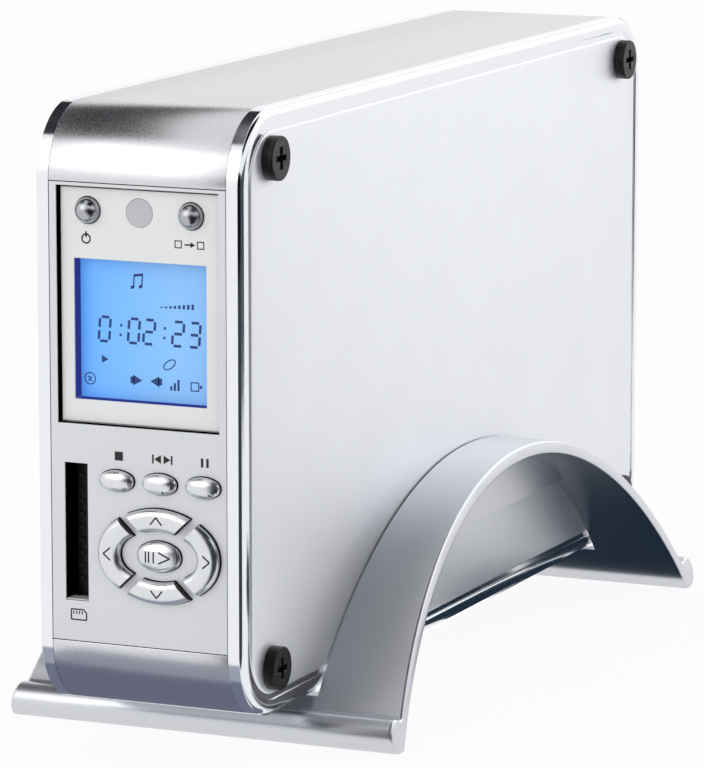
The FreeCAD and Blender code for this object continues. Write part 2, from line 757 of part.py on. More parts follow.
def display_plate():
    """The sunken plate: window with a collar to the display, button holes, flange, tab and pegs."""
    body = new_body("display_plate")
    face = sketch_on(body, "XZ_Plane", "plate_front")
    rectangle(face, "-plate_half", "plate_half", "opening_bottom + plate_gap", "opening_top - plate_gap")
    pad(body, face, "plate_thickness", reverse=True)
    flange = sketch_on(body, "XZ_Plane", "fascia_back")
    rectangle(flange, "-opening_half - flange_side", "opening_half + flange_side",
              "opening_bottom - flange_low", "seam_high - seam_gap")
    pad(body, flange, "plate_back - fascia_back", reverse=True)
    tab = sketch_on(body, "XZ_Plane", "fascia_back + tab_gap")
    rectangle(tab, "-tab_half", "tab_half", "opening_top", "seam_high + tab_reach")
    pad(body, tab, "tab_thickness", reverse=True)
    collar = sketch_on(body, "XZ_Plane", "plate_back")
    rectangle(collar, "-window_half - collar", "window_half + collar", "window_bottom - collar",
              "window_top + collar")
    pad(body, collar, "display_face - plate_back", reverse=True)
    holes = sketch_on(body, "XZ_Plane", "plate_front")
    rectangle(holes, "-window_half", "window_half", "window_bottom", "window_top")
    for _, across in DOMES:
        circle(holes, across, "dome_up", "dome_radius + key_clearance")
    circle(holes, "0", "dome_up", "ir_radius + close_fit")
    pocket(body, holes)
    board_pegs(body, HIGH_PEGS, "plate_back")


def flange_and_stem(body, across, up, half, half_height, start):
    """The plate that keeps a key behind its opening, and the square stem that runs in its switch."""
    flange = sketch_on(body, "XZ_Plane", start)
    reach = f"{half_height} + key_clearance + flange_overhang"
    rectangle(flange, f"{across} - ({half})", f"{across} + {half}", f"{up} - ({reach})", f"{up} + {reach}")
    pad(body, flange, "key_flange", reverse=True)
    add_stem(body, across, up, f"{start} + key_flange")


def add_stem(body, across, up, start):
    post = sketch_on(body, "XZ_Plane", start)
    square(post, across, up, "stem")
    pad(body, post, f"stem_end - ({start})", reverse=True)


def dome_button(name, across):
    """A round button with a wide chamfer round its face."""
    body = new_body(name)
    disc = sketch_on(body, "XZ_Plane", "front - dome_proud")
    circle(disc, across, "dome_up", "dome_radius")
    pad(body, disc, "plate_back - (front - dome_proud)", reverse=True)
    chamfer_edges(body, "dome_edge", lies_at("y", value("front - dome_proud")))
    flange_and_stem(body, across, "dome_up", "dome_radius + key_clearance + flange_overhang", "dome_radius",
                    "plate_back")


def oval_key(name, across, up, half, half_height, end):
    """An oval key with a chamfered face."""
    body = new_body(name)
    outline = sketch_on(body, "XZ_Plane", "front - key_proud")
    oval(outline, across, up, half, half_height, end)
    pad(body, outline, "key_proud + wall", reverse=True)
    chamfer_edges(body, "key_edge", lies_at("y", value("front - key_proud")))
    flange_and_stem(body, across, up, f"{half} - flange_overhang", half_height, "fascia_back")


def ring_layer(body, right, high, grow, start, length):
    """A layer of one key of the ring: the oval ring, cut back to the wedge between two webs."""
    ring = sketch_on(body, "XZ_Plane", start)
    for half, half_height, end, sign in (("ring_half", "ring_half_height", "ring_end", "+"),
                                         ("island_half", "island_half_height", "island_end", "-")):
        grown = [f"{size} {sign} ({grow})" for size in (half, half_height, end)]
        oval(ring, "ring_middle", "ring_up", *grown)
    pad(body, ring, length, reverse=True)
    wedge = sketch_on(body, "XZ_Plane", start, ("ring_middle", "ring_up"))
    offset = f"(web / 2 - ({grow}))"
    far = "2 * ring_half"
    if high:
        apex = ("0", f"{high} * {offset} / cos(web_angle)")
        rim = f"{high} * {far}"
        edge = f"({far} - {offset} / cos(web_angle)) / tan(web_angle)"
        corners = [(f"-({edge})", rim), apex, (edge, rim), (f"4 * {far}", rim), (f"4 * {far}", f"-({rim})"),
                   (f"-4 * {far}", f"-({rim})"), (f"-4 * {far}", rim)]
    else:
        apex = (f"{right} * {offset} / sin(web_angle)", "0")
        rim = f"{right} * {far}"
        edge = f"{far} * tan(web_angle) - {offset} / cos(web_angle)"
        corners = [(rim, f"-({edge})"), apex, (rim, edge), (rim, f"4 * {far}"), (f"-({rim})", f"4 * {far}"),
                   (f"-({rim})", f"-4 * {far}"), (rim, f"-4 * {far}")]
    polygon(wedge, corners)
    pocket(body, wedge)


def ring_key(name, right, high):
    """One of the four keys of the oval ring, between two webs."""
    body = new_body(name)
    ring_layer(body, right, high, "-key_clearance", "front - key_proud", "key_proud + wall")
    chamfer_edges(body, "ring_edge", lies_at("y", value("front - key_proud")))
    ring_layer(body, right, high, "flange_overhang", "fascia_back", "key_flange")
    add_stem(body, f"ring_middle + {right} * ring_across", f"ring_up + {high} * ring_along",
             "fascia_back + key_flange")


def push_switches():
    """A push switch behind every button, each with a well that the button's stem runs in."""
    places = [(across, "dome_up") for _, across in DOMES] + [(across, "oval_up") for _, across in OVALS]
    places += [(f"ring_middle + {right} * ring_across", f"ring_up + {high} * ring_along")
               for _, right, high in RING]
    places.append(("ring_middle", "ring_up"))
    body = new_body("push_switches")
    cases = sketch_on(body, "XZ_Plane", "switch_face")
    wells = sketch_on(body, "XZ_Plane", "switch_face")
    for across, up in places:
        square(cases, across, up, "switch_size")
        square(wells, across, up, "well")
    pad(body, cases, "switch_height", reverse=True)
    pocket(body, wells, "well_depth")


def ir_window():
    """The round infra-red window, with a square flange behind the display plate."""
    body = new_body("ir_window")
    disc = sketch_on(body, "XZ_Plane", "plate_front")
    circle(disc, "0", "dome_up", "ir_radius")
    pad(body, disc, "plate_thickness", reverse=True)
    flange = sketch_on(body, "XZ_Plane", "plate_back")
    square(flange, "0", "dome_up", "2 * (ir_radius + flange_overhang)")
    pad(body, flange, "key_flange", reverse=True)


def front_board():
    """The narrow board behind the keys and the display, with a square hole for each peg."""
    body = new_body("front_board")
    outline = sketch_on(body, "XZ_Plane", "board_face")
    low, split, high = ("front_board_bottom", "front_board_step", "front_board_top")
    left, right = "board_right + front_board_margin", "half_wrap - front_board_margin"
    polygon(outline, [(left, low), (right, low), (right, split), ("plate_half", split),
                      ("plate_half", high), ("-plate_half", high), ("-plate_half", split), (left, split)])
    for across, up in LOW_PEGS + HIGH_PEGS:
        square(outline, across, up, "peg + 2 * fit")
    pad(body, outline, "board_thickness", reverse=True)


def display_module():
    """The liquid crystal display, between the window's collar and the front board."""
    block("lcd_module", ("-window_half - collar", "display_face", "window_bottom - display_margin"),
          ("window_half + collar", "board_face", "window_top + display_margin"))


def ir_receiver():
    half = "switch_size / 2"
    block("ir_receiver", (f"-{half}", "plate_back + key_flange + fit", f"dome_up - {half}"),
          (half, "board_face", f"dome_up + {half}"))


# ---------------------------------------------------------------- card socket, main board and drive
SUPPORTS = [(across, up) for across in ("front + support_front", "drive_end - support_rear")
            for up in ("low_support_up", "high_support_up")]


def card_socket():
    """A flat metal socket on the main board, open towards the card slot."""
    body = new_body("card_socket")
    outline = sketch_on(body, "XZ_Plane", "front + sleeve_depth + fit")
    rectangle(outline, "board_left - socket_height", "board_left", "card_low - sleeve_wall",
              "card_high + sleeve_wall")
    pad(body, outline, "socket_depth", reverse=True)
    cavity = sketch_on(body, "XZ_Plane", "front + sleeve_depth + fit")
    rectangle(cavity, "card_middle - card_gap / 2", "card_middle + card_gap / 2",
              "card_low + sleeve_wall", "card_high - sleeve_wall")
    pocket(body, cavity, "socket_depth - sleeve_wall")


def main_board():
    """The board between the tray and the left panel, with a tongue that carries the card socket."""
    body = new_body("main_board")
    outline = sketch_on(body, "YZ_Plane", "board_left")
    near, tip, far = "front + board_front", "front + tongue_front", "panel_back_face - board_rear"
    polygon(outline, [(tip, "card_low - tongue_margin"), (near, "card_low - tongue_margin"),
                      (near, "board_bottom"),
                      (far, "board_bottom"), (far, "board_top"), (near, "board_top"),
                      (near, "card_high + tongue_margin"), (tip, "card_high + tongue_margin")])
    for across, up in SUPPORTS:
        square(outline, across, up, "support_peg + 2 * fit")
    pad(body, outline, "board_thickness")


def board_supports():
    """Four square supports that snap through the main board and the tray's web."""
    body = new_body("board_supports")
    posts = sketch_on(body, "YZ_Plane", "board_right")
    for across, up in SUPPORTS:
        square(posts, across, up, "support")
    pad(body, posts, "support_length")
    for start, length, reverse in (("board_right", "board_thickness + peg_end", True),
                                   ("tray_left", "tray_sheet - fit", False)):
        pegs = sketch_on(body, "YZ_Plane", start)
        for across, up in SUPPORTS:
            square(pegs, across, up, "support_peg")
        pad(body, pegs, length, reverse=reverse)


def drive_tray():
    """A folded sheet that cradles the drive: a web, two flanges and an ear round each pillar."""
    body = new_body("drive_tray")
    low, high = "drive_low - tray_sheet", "drive_high + tray_sheet"
    near, far = "drive_y - tray_margin", "drive_end + tray_margin"
    inner_low, inner_high = "post_low + ear_width / 2", "post_high - ear_width / 2"
    outer_low, outer_high = "post_low - ear_width / 2", "post_high + ear_width / 2"
    front_tip, rear_tip = "post_front - ear_reach", "post_rear + ear_reach"
    web = sketch_on(body, "YZ_Plane", "tray_left")
    polygon(web, [(near, low), (far, low), (far, outer_low), (rear_tip, outer_low), (rear_tip, inner_low),
                  (far, inner_low), (far, inner_high), (rear_tip, inner_high), (rear_tip, outer_high),
                  (far, outer_high), (far, high), (near, high), (near, outer_high), (front_tip, outer_high),
                  (front_tip, inner_high), (near, inner_high), (near, inner_low), (front_tip, inner_low),
                  (front_tip, outer_low), (near, outer_low)])
    for across, up in CORNERS:
        hexagon(web, across, up, "pillar_flats + 2 * close_fit")
    for across, up in SUPPORTS:
        square(web, across, up, "support_peg + 2 * fit")
    rectangle(web, "drive_y + tray_window", "drive_end - tray_window",
              "drive_low + tray_window", "drive_high - tray_window")
    pad(body, web, "tray_sheet")
    flanges = sketch_on(body, "YZ_Plane", "tray_left")
    rectangle(flanges, near, far, low, "drive_low")
    rectangle(flanges, near, far, "drive_high", high)
    pad(body, flanges, "tray_flange")


def hard_drive():
    """A 3.5 inch drive on its side: the casting and its raised lid."""
    body = new_body("hard_drive")
    casting = sketch_on(body, "YZ_Plane", "drive_left")
    rectangle(casting, "drive_y", "drive_end", "drive_low", "drive_high")
    pad(body, casting, "drive_thickness - lid")
    top = sketch_on(body, "YZ_Plane", "drive_right - lid")
    rectangle(top, "drive_y + lid_inset", "drive_end - lid_inset", "drive_low + lid_inset",
              "drive_high - lid_inset")
    pad(body, top, "lid")


def ribbon_outline(sketch):
    """The folded ribbon seen from above: a run from the plug, a bend and a run to the header."""
    x, start, bend, turn, half, end = (value(item) for item in (
        "plug_middle", "plug_end", "bend_y", "ribbon_bend", "ribbon_thickness / 2", "header_end"))
    runs = []
    for side, sign in ((half, "+"), (-half, "-")):
        radius = turn + side
        straight = Part.LineSegment(Vector(x + side, start, 0), Vector(x + side, bend, 0))
        first = sketch.addGeometry(straight, False)
        curve = arc(sketch, (x - turn, bend), radius, 0, math.pi / 2)
        last = sketch.addGeometry(Part.LineSegment(Vector(x - turn, bend + radius, 0),
                                                   Vector(end, bend + radius, 0)), False)
        join(sketch, (first, 2), (curve, 1), "Tangent")
        join(sketch, (curve, 2), (last, 1), "Tangent")
        hold(sketch, "Radius", curve, formula=f"ribbon_bend {sign} ribbon_thickness / 2")
        hold_point(sketch, curve, 3, "plug_middle - ribbon_bend", "bend_y")
        hold(sketch, "DistanceY", -1, 1, first, 1, formula="plug_end")
        hold(sketch, "DistanceX", -1, 1, last, 2, formula="header_end")
        runs.append((first, last))
    for run, point in ((0, 1), (1, 2)):
        outer, inner = runs[0][run], runs[1][run]
        ends = [sketch.getPoint(run_end, point) for run_end in (outer, inner)]
        cap = sketch.addGeometry(Part.LineSegment(*ends), False)
        join(sketch, (cap, 1), (outer, point))
        join(sketch, (cap, 2), (inner, point))


def drive_wiring():
    """The drive's plug, the header on the main board and the ribbon between them."""
    high = "ribbon_low + ribbon_width"
    half = "plug_thickness / 2"
    block("ribbon_plug", (f"plug_middle - {half}", "drive_end", "ribbon_low"),
          (f"plug_middle + {half}", "plug_end", high))
    block("ribbon_header", ("board_right", f"bend_y + ribbon_bend - {half}", "ribbon_low"),
          ("header_end", f"bend_y + ribbon_bend + {half}", high))
    body = new_body("drive_ribbon")
    strip = sketch_on(body, "XY_Plane", "ribbon_low")
    ribbon_outline(strip)
    pad(body, strip, "ribbon_width")


def processor():
    """The processor on the main board's left side, under a finned heat sink."""
    middle_y, middle_z = "front + processor_y", "processor_up"
    half = "processor_size / 2"
    block("processor", ("chip_face", f"{middle_y} - {half}", f"{middle_z} - {half}"),
          ("board_left", f"{middle_y} + {half}", f"{middle_z} + {half}"))
    body = new_body("heat_sink")
    half = "sink_size / 2"
    foot = sketch_on(body, "YZ_Plane", "chip_face")
    square(foot, middle_y, middle_z, "sink_size")
    pad(body, foot, "sink_base", reverse=True)
    fins = sketch_on(body, "YZ_Plane", "chip_face - sink_base")
    for step in range(9):
        edge = f"{middle_y} - {half} + {step} * (sink_size - sink_fin) / 8"
        rectangle(fins, edge, f"{edge} + sink_fin", f"{middle_z} - {half}", f"{middle_z} + {half}")
    pad(body, fins, "sink_fins", reverse=True)


def memory():
    """Two memory chips on the main board's left side."""
    chips = new_body("memory_chips")
    flats = sketch_on(chips, "YZ_Plane", "board_left")
    for up in ("low_chip_up", "high_chip_up"):
        rectangle(flats, "front + memory_y - memory_depth / 2", "front + memory_y + memory_depth / 2",
                  f"{up} - memory_length / 2", f"{up} + memory_length / 2")
    pad(chips, flats, "chip_thickness", reverse=True)


# ---------------------------------------------------------------- rear
PHONOS = ["low_phono_up", "middle_phono_up", "high_phono_up"]


def rear_panel():
    """The flat rear panel: socket openings, vents and two hooks behind the covers."""
    body = new_body("rear_panel")
    outline = sketch_on(body, "XZ_Plane", "back")
    rectangle(outline, "-half_wrap + seam_gap", "half_wrap - seam_gap", "seam_low + seam_gap",
              "seam_high - seam_gap")
    for up in PHONOS:
        circle(outline, "jack_x", up, "jack_radius + fit")
    circle(outline, "jack_x", "inlet_up", "inlet_radius + fit")
    circle(outline, "jack_x", "video_up", "video_radius + fit")
    square(outline, "jack_x", "usb_up", "2 * (usb_half + fit)")
    for step in range(3):
        left = f"vent_first + {step} * vent_pitch"
        rectangle(outline, left, f"{left} + vent_width", "vent_bottom", "vent_top")
    pad(body, outline, "wall")
    for seam, low, high in (("seam_low", "seam_gap", "tab_reach"),
                            ("seam_high", "-tab_reach", "-seam_gap")):
        foot = sketch_on(body, "XZ_Plane", "panel_back_face")
        rectangle(foot, "hook_near", "hook_far", f"{seam} + ({low})", f"{seam} + ({high})")
        pad(body, foot, "tab_gap + tab_thickness")
        hook = sketch_on(body, "XZ_Plane", "panel_back_face - tab_gap")
        rectangle(hook, "hook_near", "hook_far", f"{seam} - tab_reach", f"{seam} + tab_reach")
        pad(body, hook, "tab_thickness")


def socket_case(name, low, high):
    """A socket's case between the main board's edge and the rear panel, between two heights."""
    body = new_body(name)
    case = sketch_on(body, "XZ_Plane", "panel_back_face")
    rectangle(case, "board_right", "board_right + jack_block", low, high)
    pad(body, case, "jack_depth")
    return body


def barrels(body, heights, radius, reach, bore, pin=None):
    """Round barrels through the rear panel, each bored from its end, with a pin left in if it has one."""
    tubes = sketch_on(body, "XZ_Plane", "panel_back_face")
    for up in heights:
        circle(tubes, "jack_x", up, radius)
    pad(body, tubes, f"wall + ({reach})", reverse=True)
    bores = sketch_on(body, "XZ_Plane", f"back + ({reach})")
    for up in heights:
        circle(bores, "jack_x", up, bore)
        if pin:
            circle(bores, "jack_x", up, pin)
    pocket(body, bores, "jack_well", reverse=True)


def rear_sockets():
    """The power inlet, the square peripheral socket, three phono sockets and the video socket."""
    power = socket_case("power_inlet", "board_bottom + fit", "usb_up - usb_half - 2 * fit")
    barrels(power, ["inlet_up"], "inlet_radius", "0", "inlet_bore", "inlet_pin")
    phono = socket_case("phono_sockets", f"{PHONOS[0]} - jack_high / 2", f"{PHONOS[2]} + jack_high / 2")
    barrels(phono, PHONOS, "jack_radius", "jack_proud", "jack_bore")
    video = socket_case("video_socket", "video_up - jack_high / 2", "video_up + jack_high / 2")
    barrels(video, ["video_up"], "video_radius", "0", "video_radius - video_wall")
    usb = socket_case("usb_socket", "usb_up - usb_half", "usb_up + usb_half")
    shell = sketch_on(usb, "XZ_Plane", "panel_back_face")
    square(shell, "jack_x", "usb_up", "2 * usb_half")
    pad(usb, shell, "wall", reverse=True)
    well = sketch_on(usb, "XZ_Plane", "back")
    square(well, "jack_x", "usb_up", "2 * (usb_half - usb_wall)")
    rectangle(well, "jack_x - usb_half / 2", "jack_x + usb_half / 2", "usb_up - usb_tongue",
              "usb_up + usb_tongue")
    pocket(usb, well, "jack_well", reverse=True)


# ---------------------------------------------------------------- build everything
arch_stand()
seat_pads()
cover("top_cover", "base - wall", "seam_high")
cover("bottom_cover", "seam_low", "top + wall")
for builder in (side_frame, side_panel, foot_screws):
    mirrored(builder())
corner_pillars()
front_fascia()
display_plate()
for name, across in DOMES:
    dome_button(name, across)
for name, across in OVALS:
    oval_key(name, across, "oval_up", "oval_half", "oval_half_height", "oval_end")
for name, right, high in RING:
    ring_key(name, right, high)
oval_key("play_key", "ring_middle", "ring_up", "play_half", "play_half_height", "play_end")
for builder in (push_switches, ir_window, ir_receiver, front_board, display_module, card_socket, main_board,
                board_supports, drive_tray, hard_drive, drive_wiring, processor, memory, rear_panel,
                rear_sockets):
    builder()
doc.recompute()

PARTS = [item for item in doc.Objects
         if item.isDerivedFrom("PartDesign::Body") or item.TypeId in ("Part::Mirroring", "Part::Box")]
for item in doc.Objects:
    if any(word in item.State for word in ("Invalid", "Error")):
        raise RuntimeError(f"{item.Name} did not compute")
for item in PARTS:
    if item.Shape.isNull() or not item.Shape.isValid():
        raise RuntimeError(f"{item.Label} has no sound shape")
os.makedirs("parts", exist_ok=True)
for item in PARTS:
    item.Shape.exportStep(f"parts/{item.Label}.step")
print(f"{len(PARTS)} sub-parts written")
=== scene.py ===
# %% [markdown]
# # A media player in its arch stand
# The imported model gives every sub-part its place. This lesson keeps that frame and dresses it:
# the pieces with rounded or polished forms are modelled again at a finer grain, and every
# surface gets a procedural material. Lengths are worked out in millimetres and turned to metres
# once, when a piece is finished.

# %% Load the frame
import math
import bmesh
import bpy
from bmesh.types import BMEdge, BMFace, BMVert
from mathutils import Matrix, Vector
from mathutils.bvhtree import BVHTree


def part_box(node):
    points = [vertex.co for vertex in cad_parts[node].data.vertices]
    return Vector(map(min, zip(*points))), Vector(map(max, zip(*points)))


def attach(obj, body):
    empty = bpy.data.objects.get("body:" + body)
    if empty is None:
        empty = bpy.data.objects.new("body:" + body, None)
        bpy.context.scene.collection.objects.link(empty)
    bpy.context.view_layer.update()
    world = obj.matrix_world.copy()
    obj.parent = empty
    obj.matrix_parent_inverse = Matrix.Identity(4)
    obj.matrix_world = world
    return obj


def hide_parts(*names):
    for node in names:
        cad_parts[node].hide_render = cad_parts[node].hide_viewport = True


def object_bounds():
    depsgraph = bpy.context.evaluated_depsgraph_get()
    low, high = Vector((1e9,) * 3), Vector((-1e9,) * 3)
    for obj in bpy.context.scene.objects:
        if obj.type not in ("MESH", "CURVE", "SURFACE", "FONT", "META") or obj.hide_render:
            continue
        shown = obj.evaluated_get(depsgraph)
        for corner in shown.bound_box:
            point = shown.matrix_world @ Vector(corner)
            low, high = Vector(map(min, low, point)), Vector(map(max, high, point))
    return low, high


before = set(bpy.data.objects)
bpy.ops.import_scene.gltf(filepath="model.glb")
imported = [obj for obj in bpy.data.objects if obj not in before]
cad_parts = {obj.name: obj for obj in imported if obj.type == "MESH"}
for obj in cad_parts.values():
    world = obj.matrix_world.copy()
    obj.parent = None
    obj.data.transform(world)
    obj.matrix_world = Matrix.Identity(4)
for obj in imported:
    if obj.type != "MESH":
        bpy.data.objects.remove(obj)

MM = 0.001
cad_box = [list(corner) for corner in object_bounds()]


def box_mm(node):
    """The lowest and highest corners of a sub-part, in millimetres."""
    low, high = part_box(node)
    return low / MM, high / MM


# %% [markdown]
# ## The case's driving sizes
# The case is a rounded upright slab. Its outline comes from the plated frame at its side, the
# corner radius from how far the top cover comes down, and the flat front from the fascia.

# %% Sizes read from the frame
frame_low, frame_high = box_mm("side_frame_right")
FRONT, BACK = frame_low.y, frame_high.y
BASE, TOP = frame_low.z, frame_high.z
HALF_WRAP = box_mm("top_cover")[1].x
CORNER = TOP - box_mm("top_cover")[0].z
FACE_LOW, FACE_HIGH = BASE + CORNER, TOP - CORNER
SIDE_FACE = frame_high.x
PLATE_FRONT = box_mm("display_plate")[0].y
LCD_FACE = box_mm("lcd_module")[0].y
print(f"case {BACK - FRONT:.1f} deep, {TOP - BASE:.1f} high, corners {CORNER:.1f}")

# %% [markdown]
# ## Small helpers
# A piece starts as a bmesh in millimetres. When it is done, its faces are turned outwards, and it
# becomes an object at the origin, rides on its body, takes its material and stands in for the
# sub-parts that it replaces. An edge that turns by more than a set angle is left sharp, so flat
# faces stay flat and curves shade smoothly.


# %% Finish a piece
def link_object(name, data):
    item = bpy.data.objects.new(name, data)
    bpy.context.scene.collection.objects.link(item)
    return item


def to_object(name, bm):
    mesh = bpy.data.meshes.new(name)
    bm.to_mesh(mesh)
    bm.free()
    return link_object(name, mesh)


def finish_piece(name, bm, materials, replaced=(), body="player", sharp=35, turn_out=True):
    """Turns a bmesh in millimetres into a finished piece that rides on a body."""
    if turn_out:
        bmesh.ops.recalc_face_normals(bm, faces=bm.faces)
    bmesh.ops.transform(bm, matrix=Matrix.Scale(MM, 4), verts=bm.verts)
    for face in bm.faces:
        face.smooth = True
    piece = to_object(name, bm)
    piece.data.set_sharp_from_angle(angle=math.radians(sharp))
    for material in materials:
        piece.data.materials.append(material)
    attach(piece, body)
    if replaced:
        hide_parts(*replaced)
    print(f"{name}: {len(piece.data.polygons)} faces on {body}")


def finish_pair(name, make, materials, node):
    """Finishes a right-hand piece of the player and its mirrored left-hand twin."""
    for side in ("right", "left"):
        bm = make()
        if side == "left":
            bmesh.ops.scale(bm, vec=(-1, 1, 1), verts=bm.verts)
        finish_piece(f"{name}_{side}", bm, materials, [f"{node}_{side}"])


# %% [markdown]
# ### Handling meshes
# Extrude and spin give back all that they made, so a helper picks out the kind that is wanted.
# Two tolerances serve every piece: how near two vertices merge, and how near one counts as lying
# on a cutting plane.

# %% Pick, move, raise and round
MERGE = 0.002
ON_PLANE = 0.0001
X_AXIS, Y_AXIS, Z_AXIS = (1, 0, 0), (0, 1, 0), (0, 0, 1)
FORWARDS = (0, -1, 0)


def pick(items, kind):
    """The faces, edges or vertices among what an operator made."""
    return [item for item in items if isinstance(item, kind)]


def everything(bm):
    return bm.verts[:] + bm.edges[:] + bm.faces[:]


def move(bm, verts, offset):
    bmesh.ops.translate(bm, verts=verts, vec=Vector(offset))


def raise_face(bm, face, height, way=X_AXIS):
    """Extrudes one face along a direction and gives back the raised one. The first face stays:
    it is the back of a slab, but on a form it is left inside."""
    raised = pick(bmesh.ops.extrude_face_region(bm, geom=[face])["geom"], BMFace)[0]
    move(bm, raised.verts, Vector(way) * height)
    return raised


def inset_face(bm, face, width, rise):
    """Insets a face evenly and moves it along its normal."""
    bmesh.ops.inset_region(bm, faces=[face], thickness=width, depth=rise, use_even_offset=True)


def round_off(bm, face, width, rise, steps):
    """Insets a face along a quarter circle: first up, then inwards, or with a negative rise first
    inwards, then down."""
    turns = [math.pi / 2 * step / steps for step in range(steps + 1)]
    for start, stop in zip(turns, turns[1:]):
        over, up = math.cos(start) - math.cos(stop), math.sin(stop) - math.sin(start)
        if rise < 0:
            over, up = up, over
        inset_face(bm, face, width * over, rise * up)


def round_edges(bm, width, segments=2, angle=40, chosen=None):
    """Rounds the edges that turn by more than an angle."""
    bmesh.ops.recalc_face_normals(bm, faces=bm.faces)
    edges = [edge for edge in bm.edges if edge.calc_face_angle(0) > math.radians(angle)
             and (chosen is None or chosen(edge))]
    bmesh.ops.bevel(bm, geom=edges, offset=width, affect="EDGES", segments=segments, profile=0.5,
                    material=-1, clamp_overlap=True)


# %% [markdown]
# ## Materials
# The object is nearly all silver: satin anodised aluminium, painted plastic and chrome plating.
# What tells them apart is how blurred the reflection is and how coarse the grain looks. One small
# function adds a node with its settings and links, and each finish is then a short recipe.


# %% Colours and the one node helper
def colour(code):
    """A linear colour from an sRGB hex value."""
    parts = [int(code[place:place + 2], 16) / 255 for place in (1, 3, 5)]
    return [part / 12.92 if part <= 0.04045 else ((part + 0.055) / 1.055) ** 2.4
            for part in parts] + [1]


def add_node(tree, kind, inputs=(), **settings):
    """Adds a node, sets its properties and fills its inputs with values or links."""
    node = tree.nodes.new(kind)
    for name, value in settings.items():
        setattr(node, name, value)
    for name, value in dict(inputs).items():
        if isinstance(value, bpy.types.NodeSocket):
            tree.links.new(value, node.inputs[name])
        else:
            node.inputs[name].default_value = value
    return node


def empty_tree(owner):
    """The cleared node tree of a new material or world."""
    owner.use_nodes = True
    owner.node_tree.nodes.clear()
    return owner.node_tree


def new_material(name):
    material = bpy.data.materials.new(name)
    return material, empty_tree(material)


def add_surface(tree, inputs):
    """The Principled shader with its inputs, wired to the output."""
    shader = add_node(tree, "ShaderNodeBsdfPrincipled", inputs)
    add_node(tree, "ShaderNodeOutputMaterial", {"Surface": shader.outputs["BSDF"]})


# %% [markdown]
# ### Silver surfaces
# Bead-blasted and anodised aluminium, silver paint, zinc and raw castings share one build: a base
# colour, a blurred reflection, a slow mottle in the colour and a fine grain that tilts the
# surface. The grain of a real blasted sheet is about 0.1 mm, which is finer than a pixel here, so
# it is drawn three to six times coarser.

# %% A grained silver
CLOUD_MM = 18                   # the size of a patch in the slow mottle
BLUR_SPREAD = 0.04              # how far the roughness strays with the grain


def grained_silver(name, code, roughness, grain_mm, depth, metallic=1.0, mottle=0.04):
    material, tree = new_material(name)
    place = add_node(tree, "ShaderNodeTexCoord").outputs["Object"]
    grain = add_node(tree, "ShaderNodeTexNoise", {
        "Vector": place, "Scale": 1 / (grain_mm * MM), "Detail": 2.0,
        "Roughness": 0.6}).outputs["Fac"]
    cloud = add_node(tree, "ShaderNodeTexNoise", {
        "Vector": place, "Scale": 1 / (CLOUD_MM * MM), "Detail": 2.0}).outputs["Fac"]
    shade = add_node(tree, "ShaderNodeMapRange", {
        "Value": grain, "From Min": 0.25, "From Max": 0.75, "To Min": 1 - mottle, "To Max": 1.0})
    drift = add_node(tree, "ShaderNodeMapRange", {
        "Value": cloud, "From Min": 0.3, "From Max": 0.7, "To Min": 1 - mottle / 2, "To Max": 1.0})
    tone = add_node(tree, "ShaderNodeMath", {
        0: shade.outputs["Result"], 1: drift.outputs["Result"]}, operation="MULTIPLY")
    tint = add_node(tree, "ShaderNodeVectorMath", {0: colour(code)[:3], "Scale": tone.outputs[0]},
                    operation="SCALE")
    blur = add_node(tree, "ShaderNodeMapRange", {
        "Value": grain, "From Min": 0.3, "From Max": 0.7,
        "To Min": roughness - BLUR_SPREAD, "To Max": roughness + BLUR_SPREAD})
    bump = add_node(tree, "ShaderNodeBump", {
        "Height": grain, "Strength": 1.0, "Distance": depth * MM})
    add_surface(tree, {"Base Color": tint.outputs[0], "Roughness": blur.outputs["Result"],
                       "Normal": bump.outputs["Normal"], "Metallic": metallic})
    return material


# Side panels: bead-blasted and anodised aluminium sheet, so the reflection is very soft.
panel_silver = grained_silver("blasted_anodised_aluminium", "#f6f8fd", 0.46, 0.45, 0.004,
                              metallic=0.85)
# Covers: silver lacquer over aluminium, smoother than the panels.
cover_silver = grained_silver("silver_lacquered_aluminium", "#dcdde0", 0.28, 0.35, 0.001,
                              mottle=0.02)
# Fascia: injection-moulded ABS in silver paint, mostly matt with a little flake.
fascia_silver = grained_silver("silver_painted_abs", "#e3e5e8", 0.45, 0.4, 0.002, metallic=0.35)
# Sunken plate: the same paint, a shade warmer and lighter.
plate_silver = grained_silver("pale_silver_painted_abs", "#f0f1f1", 0.45, 0.4, 0.002,
                              metallic=0.25)
# Stand: satin anodised aluminium strip, which draws soft broad reflections.
stand_silver = grained_silver("satin_anodised_aluminium", "#d7d9df", 0.34, 0.3, 0.0015,
                              mottle=0.03)
# Inside: zinc on sheet steel, a black anodised heat sink and the drive's raw casting, all dull.
zinc = grained_silver("zinc_plated_steel", "#b9bcc0", 0.35, 0.6, 0.004)
black_aluminium = grained_silver("black_anodised_aluminium", "#26272a", 0.4, 0.4, 0.003)
casting = grained_silver("drive_aluminium_casting", "#8d9094", 0.55, 0.5, 0.01)
# Rear panel: textured dark paint on sheet steel, which scatters nearly all light.
rear_paint = grained_silver("dark_textured_paint", "#4a4b4f", 0.55, 0.5, 0.01, metallic=0.0)
print("silver finishes made")

# %% [markdown]
# ### Plating, black parts, display and inner parts
# Chrome on plastic keeps a faint orange-peel ripple, which bends the reflections a little. Black
# parts are oxidised steel or moulded plastic with a slight sheen.


